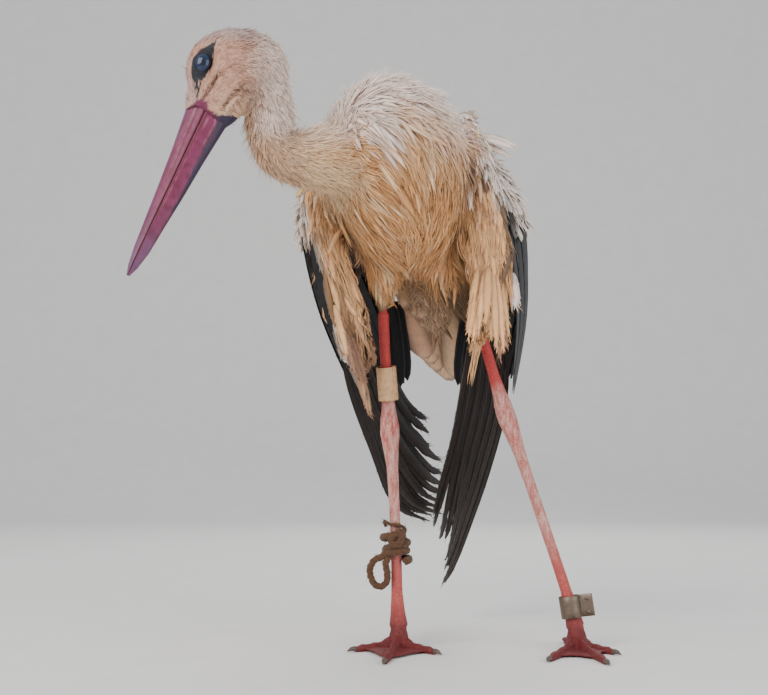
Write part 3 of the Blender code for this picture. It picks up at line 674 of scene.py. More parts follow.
def feather_look(name, roughness, fineness, relief, contrast):
    """Feather with fine barbs that run out slantwise from the shaft, and a little soiling. Made only once."""
    if name in bpy.data.materials:
        return bpy.data.materials[name]
    look = Look(name, roughness, Specular_IOR_Level=0.25, Sheen_Weight=0.10, Sheen_Roughness=0.5)
    tint = look.attribute("tint", "Color")
    barb = look.attribute("barb", "Vector")
    drawn = look.stretched((fineness, fineness * 0.045, 1.0), barb)
    wave = look.noise(1.0, 2.5, drawn, 0.6)
    dirt = look.noise(120, 4.0)
    toned = look.blend(1.0, tint, look.ramp(dirt, (0.30, 0.90), (0.66, 1.05)), "MULTIPLY")
    barbs = look.ramp(wave, (0.30, 1 - contrast), (0.5, 1.0), (0.72, 1 + contrast * 0.6))
    look.colour(look.blend(1.0, toned, barbs, "MULTIPLY"))
    look.rough(look.ramp(wave, (0.3, min(roughness + 0.1, 1.0)), (0.7, roughness)))
    look.bump(wave, relief, 0.7)
    return look.material


def skin_look():
    look = Look("stork skin under the coat", 0.62, Specular_IOR_Level=0.4)
    tint = look.attribute("tint", "Color")
    fine = look.noise(900, 4.0)
    look.colour(look.blend(1.0, tint, look.ramp(fine, (0.3, 0.82), (0.7, 1.08)), "MULTIPLY"))
    pores = look.add("TexVoronoi", {"Scale": 1500.0, "Vector": look.place()}).outputs["Distance"]
    look.bump(pores, 0.0003, 0.5)
    return look.material


# The skin


def side_points(points):
    """The points' places along x and z in the layout, which is the plane that the head is drawn in."""
    laid = points + ORIGIN
    return laid[:, [0, 2]]


def bare_share(points):
    """1 on the bare black skin round an eye, 0 outside it."""
    laid = points + ORIGIN
    line = [row[:2] for row in BARE_SPINDLE]
    gap, share = line_distance(laid[:, [0, 2]], line)
    half = np.interp(share, np.linspace(0, 1, len(BARE_SPINDLE)), [row[2] for row in BARE_SPINDLE])
    edge = smooth(0.0009, -0.0004, gap - half)
    aside = np.abs(laid[:, 1] - EYE_MIDDLE[1])
    return edge * smooth(0.009, 0.012, aside) * smooth(-0.125, -0.135, laid[:, 0])


def bill_places(points):
    """Each point's place along the bill from its base, and across it from the ridge to the underside."""
    offset = (points + ORIGIN - BILL_BASE)[:, [0, 2]]
    along = unit((BILL_TIP - BILL_BASE)[[0, 2]])
    return offset @ along, offset @ np.array((-along[1], along[0]))


def bare_gape(points):
    """1 where the bill's red skin runs up the face beyond the feathers' edge, 0 on the feathered face."""
    along, across = bill_places(points)
    edge = np.interp(across, [row[0] for row in FACE_EDGE], [row[1] for row in FACE_EDGE])
    beyond = smooth(-0.0004, 0.0004, along - edge)
    return beyond * smooth(0.0285, 0.0262, across) * smooth(-0.018, -0.013, along)


def shape_rim(points):
    """Draws the forehead's skin down over the ridge of the bill's base."""
    along, across = bill_places(points)
    ahead = unit(BILL_TIP - BILL_BASE)
    reach = np.interp(across, *FOREHEAD_REACH)
    offset = points + ORIGIN - BILL_BASE
    near = smooth(-0.014, -0.002, along) * smooth(0.030, 0.022, np.linalg.norm(offset, axis=1))
    points = points + ahead * (reach * near)[:, None]
    offset = points + ORIGIN - BILL_BASE
    ridge = unit(np.cross(ahead, FORWARD))
    ridge = ridge if ridge[0] < 0 else -ridge
    aside = np.cross(ahead, ridge)
    table = np.array(BILL_SECTIONS)
    share = offset @ ahead / np.linalg.norm(BILL_TIP - BILL_BASE)
    half, over = (np.interp(share, table[:, 0], table[:, n]) + 0.0005 for n in (1, 2))
    high, wide = offset @ ridge, offset @ aside
    reach = np.hypot(wide / half, high / over)
    under_horn = (reach > 0.78) & (reach < 1) & (high > 0.004) & (near > 0)
    out = np.where(under_horn, 1 / np.maximum(reach, 0.1), 1.0) - 1
    return points + (ridge * (high * out)[:, None] + aside * (wide * out)[:, None])


def crease_gap(points):
    """How far each point is from the nearest fold of the cheek or throat, seen from the side."""
    flat = side_points(points)
    gaps = [line_distance(flat, line)[0] for line in CREASES]
    return np.minimum(*gaps)


def eye_centre(sign):
    """The middle of the left eye for 1, of the right eye for -1."""
    return EYE_MIDDLE - ORIGIN + np.array((0, -sign * EYE_ASIDE, 0))


def shape_lids(points):
    """Moves the skin round each eye into a socket with raised lids that hug the ball."""
    for sign in (1, -1):
        middle = eye_centre(sign)
        offset = points - middle
        outward = -sign * offset[:, 1]
        across = offset[:, 0] * math.cos(EYE_LEAN) + offset[:, 2] * math.sin(EYE_LEAN)
        along = -offset[:, 0] * math.sin(EYE_LEAN) + offset[:, 2] * math.cos(EYE_LEAN)
        radius = np.hypot(across / 0.0071, along / 0.0091)
        reach = np.hypot(across, along)
        beyond = np.hypot(across / EYE_OVAL[0], along / EYE_OVAL[1])
        ball = EYE_RADIUS * np.sqrt(1 - np.minimum(beyond, 0.93) ** 2)
        lid = np.interp(radius, *LID)
        share = smooth(1.95, 1.30, radius) * (outward > -0.004)
        share = share * smooth(0.022, 0.016, reach)
        aim = ball + lid
        moved = outward * (1 - share) + aim * share
        points[:, 1] = middle[1] - sign * moved
    return points


def plumage_colours(settings):
    names = (
        "breast", "breast_deep", "breast_pale", "back", "face", "crown", "belly", "wing_white",
        "covert_cream", "covert_brown", "covert_soiled", "flight_black", "flight_worn", "tail",
    )
    return {name: np.array(getattr(settings, name)) for name in names}


def body_tint(points, normals, colours):
    """The markings of head, neck and body at each point, the same for the skin and its coat."""
    laid = points + ORIGIN
    x, y, z = laid.T
    broad = wave_noise(laid, 22.0)
    streak = wave_noise(laid * (1.0, 1.0, 0.35), 120.0, 7.0)
    breast = mix(colours["breast"], colours["breast_deep"], smooth(0.0, 0.55, streak) * 0.62)
    breast = mix(breast, colours["breast_pale"], smooth(-0.05, -0.5, streak) * 0.60)
    breast = mix(breast, colours["breast_pale"], smooth(0.425, 0.50, z) * 0.22)
    # clean above: how far a place faces up or lies behind, on the neck its upper side
    upper_edge = 0.46 + 0.04 * smooth(-0.02, 0.0, x)
    above = smooth(-0.05, 0.70, normals[:, 2] + 0.25 * broad) * smooth(0.40, upper_edge, z)
    above = np.maximum(above, smooth(0.02, 0.09, y) * smooth(0.36, 0.44, z))
    high = smooth(0.500, 0.545, z + 0.010 * broad) * smooth(-0.09, -0.05, x)
    high = np.maximum(high, smooth(0.455, 0.478, z + 0.008 * broad) * smooth(0.012, -0.012, x))
    body = mix(breast, colours["back"], np.clip(np.maximum(above, high), 0, 1))
    under_neck = smooth(-0.10, -0.70, normals[:, 2]) * smooth(-0.020, -0.045, x) * smooth(0.425, 0.432, z)
    body = mix(body, colours["breast_pale"], np.maximum(under_neck, smooth(-0.035, -0.065, x) * 0.70) * 0.85)
    # painted shade: the low rear underside of the body takes the dark belly colour
    low = smooth(0.385, 0.345, z + 0.012 * broad) * smooth(-0.02, 0.02, y + 0.4 * (0.36 - z))
    low = np.maximum(low, smooth(0.380, 0.358, z + 0.008 * broad) * smooth(0.012, 0.024, x))
    body = mix(body, colours["belly"], low)
    body = mix(body, colours["tail"], smooth(0.0, 0.06, y + 0.3 * (0.37 - z)) * low * 0.75)
    # painted shade where the breast runs in behind the wings
    flat = laid[:, [0, 2]]
    for line in WING_FOLDS.values():
        gap = line_distance(flat, line)[0]
        fold_shade = smooth(0.012, 0.002, gap) * smooth(-0.085, -0.065, y) * smooth(0.06, 0.0, y)
        body = mix(body, colours["covert_brown"], fold_shade * 0.7)
    nape = smooth(-0.128, -0.098, x + 0.012 * wave_noise(laid, 60.0, 3.0)) * smooth(0.462, 0.480, z)
    head = mix(colours["face"], colours["back"], nape)
    head = mix(head, colours["crown"], smooth(0.538, 0.556, z + 0.003 * broad) * (1 - nape * 0.6))
    head = mix(head, colours["crown"], smooth(-0.162, -0.172, x + 0.25 * (z - 0.52)) * 0.6)
    throat = smooth(0.507, 0.480, z) * smooth(-0.150, -0.135, x) * (1 - nape)
    head = mix(head, colours["breast_pale"], throat * 0.50)
    is_head = smooth(-0.070, -0.086, x)
    return mix(body, head, is_head)


def beyond_edge(points, side_name):
    """How far outside the edge of the coverts a point of a wing lies, seen from the front."""
    laid = points + ORIGIN
    outer = np.array(COVERT_EDGES[side_name])
    across = laid[:, 0] - np.interp(laid[:, 2], outer[:, 1], outer[:, 0])
    return across if side_name == "left" else -across


def wing_tint(points, colours, side_name):
    """The markings of a wing's arm and hand: white above, cream on the leading edge and the long coverts."""
    laid = points + ORIGIN
    x, y, z = laid.T
    patch = wave_noise(laid, 70.0, 5.0)
    flat = laid[:, [0, 2]]
    beyond = beyond_edge(points, side_name)
    if side_name == "left":
        inner = line_distance(flat, ((0.079, 0.540), (0.086, 0.500), (0.093, 0.455)))[0]
        white = smooth(0.435, 0.470, z + 0.010 * patch) * smooth(0.004, 0.013, inner + 0.004 * patch)
        white = np.maximum(white, smooth(0.05, 0.09, y))
        white = np.maximum(white, smooth(0.512, 0.526, z + 0.006 * patch))
        white = np.maximum(white, smooth(-0.003, 0.0, beyond) * smooth(0.395, 0.405, z))
    else:
        white = smooth(0.03, 0.08, y) * 0.8
        edge = smooth(-0.0045, -0.0020, beyond) * smooth(0.340, 0.325, z) * smooth(0.285, 0.295, z)
        white = np.maximum(white, edge)
        white = np.maximum(white, smooth(-0.006, 0.0, beyond + 0.002 * patch) * smooth(0.405, 0.420, z))
    tint = mix(colours["covert_cream"], colours["wing_white"], white)
    soiled = smooth(0.30, 0.55, wave_noise(laid * (1.0, 1.0, 0.5), 95.0, 11.0))
    if side_name == "right":
        barred = np.sin(2 * math.pi * (z + 0.85 * x) / 0.0125 + 1.6 * patch)
        soiled = np.maximum(soiled * 0.75, smooth(0.15, 0.85, barred) * smooth(0.455, 0.42, z) * 0.62)
        worn = smooth(0.385, 0.300, z + 0.012 * patch) * (1 - white)
        tint = mix(tint, colours["covert_soiled"], worn * 0.75)
        tint = mix(tint, colours["covert_brown"], soiled * smooth(0.50, 0.44, z) * (1 - 0.9 * white))
        # painted shade: dark brown along the right wing's inner side, beside the body
        inner = np.interp(z, (0.300, 0.345, 0.384, 0.455), (-0.0069, -0.0157, -0.0303, -0.0567))
        shaded_side = smooth(-0.001, 0.006, x - inner) * smooth(0.470, 0.455, z)
        tint = mix(tint, colours["covert_brown"] * 0.6, shaded_side * 0.85)
    else:
        tint = mix(tint, colours["covert_brown"], soiled * 0.30 * smooth(0.50, 0.44, z) * (1 - 0.8 * white))
        for line, half in BROWN_PATCHES:
            gap = line_distance(flat, line)[0] + 0.0012 * patch
            tint = mix(tint, colours["covert_brown"], smooth(half, half * 0.4, gap) * 0.9)
    start = 0.456 if side_name == "left" else 0.436
    black = smooth(-0.0012, 0.0012, beyond + 0.0015 * patch) * smooth(start, start - 0.010, z)
    rear = np.where(z > 0.40, smooth(0.012, -0.002, y), smooth(0.11, 0.07, y))
    return mix(tint, colours["flight_black"], black * rear)


def tail_axes():
    """The tail's left, its way backward and down, and its upper side."""
    left = np.array((math.cos(TAIL_HEADING), -math.sin(TAIL_HEADING), 0))
    level = np.array((math.sin(TAIL_HEADING), math.cos(TAIL_HEADING), 0))
    along = level * math.cos(TAIL_DROOP) - np.array((0, 0, math.sin(TAIL_DROOP)))
    return left, along, unit(np.cross(left, along))


class Ground:
    """The skin as the ground that feathers grow from: where it is, which way it faces and its flat map."""

    def __init__(self, skin, finder, owner, nodes):
        mesh = skin.data
        mesh.calc_loop_triangles()
        count = len(mesh.loop_triangles)
        corners = np.empty(count * 3, np.int32)
        loops = np.empty(count * 3, np.int32)
        mesh.loop_triangles.foreach_get("vertices", corners)
        mesh.loop_triangles.foreach_get("loops", loops)
        flat = np.empty(len(mesh.loops) * 2, np.float32)
        mesh.uv_layers[SKIN_MAP].uv.foreach_get("vector", flat)
        self.corners = corners.reshape(-1, 3)
        self.points = points_of(mesh)
        self.normals = points_of(mesh, "normal")
        self.flat = flat.reshape(-1, 2)[loops.reshape(-1, 3)].astype(float)
        self.tree = BVHTree.FromPolygons(self.points.tolist(), self.corners.tolist(), all_triangles=True)
        a, b, c = (self.points[self.corners[:, n]] for n in range(3))
        self.area = np.linalg.norm(np.cross(b - a, c - a), axis=1) / 2
        self.centre = (a + b + c) / 3
        hits = [owner[finder.find_nearest(p)[2]] for p in self.centre.tolist()]
        self.node = np.array(nodes)[np.array(hits)]

    def shares(self, points, index):
        """How much each corner of its triangle counts at a point."""
        a, b, c = (self.points[self.corners[index, n]] for n in range(3))
        ab, ac, ap = b - a, c - a, points - a
        d00, d01, d11 = (ab * ab).sum(1), (ab * ac).sum(1), (ac * ac).sum(1)
        d20, d21 = (ap * ab).sum(1), (ap * ac).sum(1)
        under = np.maximum(d00 * d11 - d01 * d01, 1e-20)
        v = np.clip((d11 * d20 - d01 * d21) / under, 0, 1)
        w = np.clip((d00 * d21 - d01 * d20) / under, 0, 1)
        return np.stack([np.clip(1 - v - w, 0, 1), v, w], axis=1)

    def normal_at(self, points, index):
        shares = self.shares(points, index)
        return unit((self.normals[self.corners[index]] * shares[..., None]).sum(1))

    def snap(self, points):
        hits = [self.tree.find_nearest(p) for p in points.tolist()]
        spots = np.array([tuple(hit[0]) for hit in hits])
        index = np.array([hit[2] for hit in hits])
        return spots, self.normal_at(spots, index), index

    def roots(self, nodes, count, rng, wanted=None):
        """Evenly strewn places on the named parts. wanted(points, normals) gives how densely they stand."""
        weight = self.area * np.isin(self.node, nodes)
        if wanted is not None:
            facing = unit(self.normals[self.corners].mean(1))
            weight = weight * wanted(self.centre, facing)
        running = np.cumsum(weight)
        picks = (np.arange(count) + rng.random(count)) / count * running[-1]
        index = np.minimum(np.searchsorted(running, picks), len(running) - 1)
        first, second = rng.random(count), rng.random(count)
        over = first + second > 1
        first, second = np.where(over, 1 - first, first), np.where(over, 1 - second, second)
        shares = np.stack([1 - first - second, first, second], axis=1)
        points = (self.points[self.corners[index]] * shares[..., None]).sum(1)
        flat = (self.flat[index] * shares[..., None]).sum(1)
        normals = unit((self.normals[self.corners[index]] * shares[..., None]).sum(1))
        return points, normals, flat


GROUND = {}  # the skin's operator puts its ground in here under "skin", for the feathers' operators


def skin_ground():
    """The ground that the feathers grow on, once the skin is made."""
    if "skin" not in GROUND:
        raise RuntimeError("The skin has to be made before the feathers that grow on it")
    return GROUND["skin"]


# The nodes that a part of the coat covers, where they aren't one node of the same name
PARTS = {"neck": ("neck_upper", "neck_lower"), "body": ("trunk",), "vent": ("trunk",)}
END_ON = 0.80  # how nearly a feather's way may run along the skin's normal before it is left out


def lie_rows(line, reach):
    """Which way feathers lie beside a line of the body, from its first point to its last."""
    line = np.asarray(line, float)
    return [(*((a + b) / 2 - ORIGIN), *unit(b - a), reach) for a, b in zip(line, line[1:])]


def head_lie_rows(reach):
    return [(x - ORIGIN[0], HEAD_PLANE - ORIGIN[1], z, dx, 0.12, dz, reach) for x, z, dx, dz in HEAD_LIE]


def lie_of(part):
    """A function that gives the lie of the feathers on a part at points with normals."""
    if part == "head":
        rows = head_lie_rows(0.013) + lie_rows(NECK, 0.016)
    elif part == "neck":
        rows = lie_rows(NECK, 0.018) + head_lie_rows(0.012)
    elif part.startswith("thigh"):
        rows = lie_rows(THIGHS[part.split("_")[1]], 0.03)
    elif part.endswith("hand"):
        rows = lie_rows(WINGS[part.split("_")[1]]["hand"], 0.025)
    elif part.endswith("arm"):
        rows = []
        for rib in WINGS[part.split("_")[1]]["secondaries"]:
            rows += lie_rows(curve_points(rib, 7), 0.035)
    elif part == "vent":
        root = TAIL_ROOT - np.array((0.0, 0.06, 0.0))
        rows = lie_rows((root, root + tail_axes()[1] * 0.06, root + tail_axes()[1] * 0.12), 0.05)
    else:
        rows = None

    def along_rows(points, normals):
        table = np.array(rows)
        gap = ((points[:, None, :] - table[None, :, :3]) ** 2).sum(2)
        if part in ("head", "neck"):
            gap = gap - (points[:, None, 1] - table[None, :, 1]) ** 2 * 0.85
        weight = np.exp(-gap / (2 * table[None, :, 6] ** 2)) + 1e-9 / (gap + 1e-6)
        way = unit(weight @ table[:, 3:6])
        if part.endswith("arm"):
            # over the wing's top edge the feathers turn to lie backward and outward
            upright = smooth(-0.45, -0.85, (way * normals).sum(1))[:, None]
            way = way * (1 - upright) + np.array((0.45 if "left" in part else -0.45, 0.9, -0.1)) * upright
        return way

    def over_body(points, normals):
        laid = points + ORIGIN
        high = smooth(0.450, 0.500, laid[:, 2])[:, None]
        front = smooth(0.05, -0.09, laid[:, 1])[:, None] * (1 - 0.8 * high)
        spread = laid - NECK_ROOT
        near = np.exp(-((np.linalg.norm(spread, axis=1) / 0.064) ** 2))[:, None]
        way = np.array(TAILWARD) * (1 - 0.85 * front) + np.array((0.0, 0.0, -1.0)) * (0.22 + 0.95 * front)
        inward = (0.034 - laid[:, :1]) * 4.5 * smooth(0.455, 0.37, laid[:, 2:]) * front
        over = high * smooth(0.09, -0.02, laid[:, 1:2]) * smooth(0.075, 0.030, laid[:, :1])
        way = way + np.array((1.0, 0.0, 0.0)) * (inward + 0.75 * over)
        return way + (unit(spread) * 0.9 + np.array((1.3, 0.0, -0.2)) * front) * near

    return along_rows if rows is not None else over_body


def lay_shafts(points, normals, lie, lengths, stations, turns, sag):
    """Leads each feather's shaft over the skin from its root. Where the skin turns away, it hangs free."""
    ground = skin_ground()
    spots, faces = [points], [normals]
    turn_cos, turn_sin = np.cos(turns)[:, None], np.sin(turns)[:, None]
    step = lengths / (stations - 1)
    free = np.zeros(len(points), bool)
    before = None
    for _ in range(stations - 1):
        here, up = spots[-1], faces[-1]
        way = lie(here, up)
        way = unit(way - up * (way * up).sum(1)[:, None])
        way = way * turn_cos + np.cross(up, way) * turn_sin
        if before is not None:
            hanging = unit(before + np.array((0.0, 0.0, -sag)))
            way = np.where(free[:, None], hanging, unit(way + before * 0.5))
        aim = here + way * step[:, None]
        spot, face, _ = ground.snap(aim)
        over = ((aim - spot) * face).sum(1)
        free = (free | (np.linalg.norm(aim - spot, axis=1) > 0.27 * step)) & (over > 0)
        spots.append(np.where(free[:, None], aim, spot))
        faces.append(np.where(free[:, None], up, face))
        before = way
    return np.stack(spots, 1), np.stack(faces, 1)


def planted(part, count, rng, wanted, drop):
    """Roots of a part's feathers, apart from those in drop and those that would stand out of the skin."""
    points, normals, flat = skin_ground().roots(PARTS.get(part, (part,)), count, rng, wanted)
    keep = (unit(lie_of(part)(points, normals)) * normals).sum(1) <= END_ON
    if drop is not None:
        keep &= ~drop(points, normals)
    return points[keep], normals[keep], flat[keep]


def flat_under(points):
    """The places on the skin's flat map that lie under the points."""
    ground = skin_ground()
    return ground.flat[ground.snap(points)[2]].mean(1)


def smooth_rows(rows, rounds):
    """Evens out each row of stations and leaves its ends in place."""
    for _ in range(rounds):
        middle = (rows[:, :-2] + rows[:, 2:]) * 0.25 + rows[:, 1:-1] * 0.5
        rows = np.concatenate([rows[:, :1], middle, rows[:, -1:]], axis=1)
    return rows


class Blades:
    """Many feathers or strands of like build, as rows of stations: place, facing, half width, thickness."""

    FIELDS = ("centre", "normal", "half", "thick", "flat", "tint", "across", "slant", "sag", "mark")

    def __init__(self, centre, normal, half, thick, flat, tint, slant=0.0, sag=0.0):
        count = len(half)
        self.centre, self.half, self.flat, self.tint = centre, half, flat, tint
        self.thick = np.array(np.broadcast_to(thick, half.shape))
        self.slant = np.full(count, slant)  # how far the barbs lean out from the shaft
        self.sag = np.full(count, sag)  # how far the edges droop, as a share of the half width
        self.mark = (np.arange(count) * 0.618) % 1 * 50  # sets each one's barbs apart from the next one's
        ahead = unit(np.gradient(centre, axis=1))
        self.across = unit(np.cross(normal, ahead))
        self.normal = unit(np.cross(ahead, self.across))

    def join(self, other):
        for key in self.FIELDS:
            setattr(self, key, np.concatenate([getattr(self, key), getattr(other, key)]))
        return self

    def take(self, chosen):
        made = object.__new__(Blades)
        for key in self.FIELDS:
            setattr(made, key, getattr(self, key)[chosen])
        return made


# The corners round a feather's section, as (across from -1 to 1, up)
STRAND = ((-1, 0, 1), (0, 1, 0))
LEAF = ((-1, 0, 1, 0), (0, 1, 0, -0.5))
VANE = ((-1, -0.5, 0, 0.5, 1, 0), (0, 0.45, 1.0, 0.45, 0, -0.55))


def put_blades(name, blades, section, look):
    """One mesh of feathers, with each one's patch on the skin's flat map."""
    across, height = (np.array(row, float) for row in section)
    count, stations = blades.half.shape
    side = blades.half[:, :, None] * across
    lift = blades.thick[:, :, None] * height - (blades.sag[:, None] * blades.half)[:, :, None] * across**2
    rings = (
        blades.centre[:, :, None, :] + blades.across[:, :, None, :] * side[..., None]
        + blades.normal[:, :, None, :] * lift[..., None]
    )
    share = np.linspace(0, 1, stations)
    steps = np.linalg.norm(np.diff(blades.centre, axis=1), axis=2)
    run = np.concatenate([np.zeros((count, 1)), np.cumsum(steps, axis=1)], axis=1)

    def fill(mesh, loops):
        tint = np.repeat(blades.tint[:, :, None, :], len(across), axis=2).reshape(-1, 3)
        set_tint(mesh, tint)
        cos, sin = np.cos(blades.slant)[:, None, None], np.sin(blades.slant)[:, None, None]
        out = np.abs(side) if len(across) > 3 else side
        barb = np.empty((count, stations, len(across), 3))
        barb[..., 0] = out * cos - run[:, :, None] * sin
        barb[..., 1] = out * sin + run[:, :, None] * cos
        barb[..., 2] = blades.mark[:, None, None]
        set_rows(mesh, "barb", barb)
        patch = np.empty((count, stations, len(across), 2))
        patch[..., 0] = blades.flat[:, None, None, 0] + across[None, None, :] * PATCH / 2
        patch[..., 1] = blades.flat[:, None, None, 1] + (share[None, :, None] - 0.5) * PATCH
        layer = mesh.uv_layers.new(name=SKIN_MAP)
        layer.uv.foreach_set("vector", patch.reshape(-1, 2)[loops].astype(np.float32).ravel())

    made = put_rings(name, rings, look, fill)
    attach(made, "root")
    return made


def shaded(base, rng, stations, root_shade=0.80, light_tip=1.06, spread=0.06):
    """Each feather's colour from root to tip, with painted shade where its neighbours cover it."""
    each = 1 + rng.normal(0, spread, len(base))[:, None]
    warm = 1 + rng.normal(0, 0.02, (len(base), 3))
    ramp = np.interp(np.linspace(0, 1, stations), (0, 0.45, 1), (root_shade, 1.0, light_tip))
    return np.clip((base * each * warm)[:, None, :] * ramp[None, :, None], 0, 1)


POINTED = ((0, 0.12, 0.42, 0.72, 0.90, 1), (0.45, 0.80, 1.0, 0.72, 0.34, 0.03))
ROUNDED = ((0, 0.15, 0.55, 0.80, 0.93, 1), (0.45, 0.85, 1.0, 0.88, 0.55, 0.06))


def grow_vanes(part, count, rng, size, breadth, tint, wanted=None, stations=6, swerve=0.12,
               rise=0.003, ruffle=0.10, shape=POINTED, slant=0.30, thick=0.0006, drop=None, sag=0.12,
               droop=0.10):
    """Whole small feathers that lie over each other like tiles. size and breadth take points and normals."""
    points, normals, flat = planted(part, count, rng, wanted, drop)
    count = len(points)
    lengths = size(points, normals) * rng.uniform(0.78, 1.22, count)
    turns = rng.normal(0, swerve, count)
    centre, face = lay_shafts(points, normals, lie_of(part), lengths, stations, turns, droop)
    centre = smooth_rows(centre, 1)
    face = unit(smooth_rows(face, 2))
    share = np.linspace(0, 1, stations)
    stray = (rng.random(count) < ruffle) * rng.uniform(0.5, 1.8, count)
    lifted = np.maximum(rng.normal(1.0, 0.25, count), 0.3)
    height = -0.0007 + rise * lifted[:, None] * share[None, :] ** 0.8
    height = height + rise * stray[:, None] * share[None, :] ** 2
    centre = centre + face * height[..., None]
    ahead = unit(np.gradient(centre, axis=1))
    lean = rng.normal(0, 0.16, count)[:, None, None]
    face = unit(face + np.cross(face, ahead) * lean)
    half = (breadth(points, normals) * rng.uniform(0.8, 1.2, count))[:, None]
    half = np.maximum(half * np.interp(share, *shape)[None, :], 0.00012)
    body = thick * np.interp(share, (0, 0.4, 1), (1.0, 0.9, 0.35))
    colour = shaded(tint(points, normals), rng, stations)
    return Blades(centre, face, half, body[None, :], flat, colour, slant=slant, sag=sag)


def grow_plumes(part, count, rng, size, tint, stations=5, strands=3, wanted=None, swerve=0.2,
                rise=0.005, ruffle=0.15, spread=0.0022, width=0.0011, thick=0.00035, drop=None, droop=0.10):
    """Plumes whose barbs part into pointed strands. size(points, normals) is their length."""
    points, normals, flat = planted(part, count, rng, wanted, drop)
    count = len(points)
    lengths = size(points, normals) * rng.uniform(0.75, 1.25, count)
    turns = rng.normal(0, swerve, count)
    centre, face = lay_shafts(points, normals, lie_of(part), lengths, stations, turns, droop)
    face = unit(smooth_rows(face, 2))
    centre = smooth_rows(centre, 1)
    ahead = unit(np.gradient(centre, axis=1))
    across = unit(np.cross(face, ahead))
    base = tint(points, normals)
    share = np.linspace(0, 1, stations)
    lifted = np.maximum(rng.normal(1.0, 0.22, count), 0.4)
    stray = (rng.random(count) < ruffle) * rng.uniform(0.4, 1.6, count)
    made = None
    scale = lengths / np.median(lengths)
    for strand in range(strands):
        offset = (strand - (strands - 1) / 2) / max(strands - 1, 1) * 2
        offset = offset + rng.normal(0, 0.18, count)
        reach = rng.uniform(0.72, 1.0, count) * (1 - 0.16 * np.abs(offset))
        start = rng.uniform(0.0, 0.16, count)
        spot = start[:, None] + (reach - start)[:, None] * share[None, :]
        place = spot * (stations - 1)
        low = np.clip(place.astype(int), 0, stations - 2)
        part_way = (place - low)[..., None]
        row = np.arange(count)[:, None]
        shaft = between(centre, row, low, part_way)
        up = unit(between(face, row, low, part_way))
        aside = between(across, row, low, part_way)
        fan = np.interp(share, (0, 0.35, 0.75, 1), (0.45, 1.0, 0.85, 0.45))
        sway = np.sin(share[None, :] * 3.0 + rng.uniform(0, 6.28, count)[:, None]) * 0.22
        sideways = (offset[:, None] * fan[None, :] + sway) * spread * np.sqrt(scale)[:, None]
        height = -0.0006 + rise * (share[None, :] ** 0.75) * (lifted + rng.normal(0, 0.12, count))[:, None]
        height = height + rise * stray[:, None] * share[None, :] ** 2.2
        middle = shaft + aside * sideways[..., None] + up * height[..., None]
        half = np.interp(share, (0, 0.3, 0.7, 1.0), (0.7, 1.0, 0.72, 0.05))
        half = width * half[None, :] * (rng.uniform(0.75, 1.25, count) * np.sqrt(scale))[:, None]
        body = thick * np.interp(share, (0, 0.3, 1), (1.0, 1.0, 0.25))
        colour = shaded(base, rng, stations)
        blades = Blades(middle, up, half, body[None, :], flat, colour, slant=0.04)
        made = made.join(blades) if made else blades
    return made


def steady(value):
    """A size or breadth that is the same everywhere."""
    return lambda points, normals: np.full(len(points), value)


def put_split(name, blades, section):
    """Puts soft feathers into as many meshes as keep each one under the count of triangles."""
    corners = len(section[0])
    each = (blades.half.shape[1] - 1) * corners * 2 + 2 * (corners - 2)
    pieces = max(1, math.ceil(len(blades.half) * each / PIECE_TRIANGLES))
    bounds = np.linspace(0, len(blades.half), pieces + 1).astype(int)
    for number in range(pieces):
        label = name if pieces == 1 else f"{name}_{number + 1}"
        some = blades.take(np.arange(bounds[number], bounds[number + 1]))
        put_blades(label, some, section, soft_look())


def soft_look():
    return feather_look("soft feather", 0.80, 1500, 0.00025, 0.20)


def flight_look():
    return feather_look("flight feather", 0.55, 1300, 0.0002, 0.45)


def rng_for(context, number):
    """Random numbers that stay the same on each run, apart for each group of feathers."""
    return np.random.default_rng(context.scene.stork_plumage.seed * 100 + number)


def amount(context, full):
    """The full count of small feathers, or the share of it that the settings ask for."""
    return max(60, int(full * context.scene.stork_plumage.abundance))


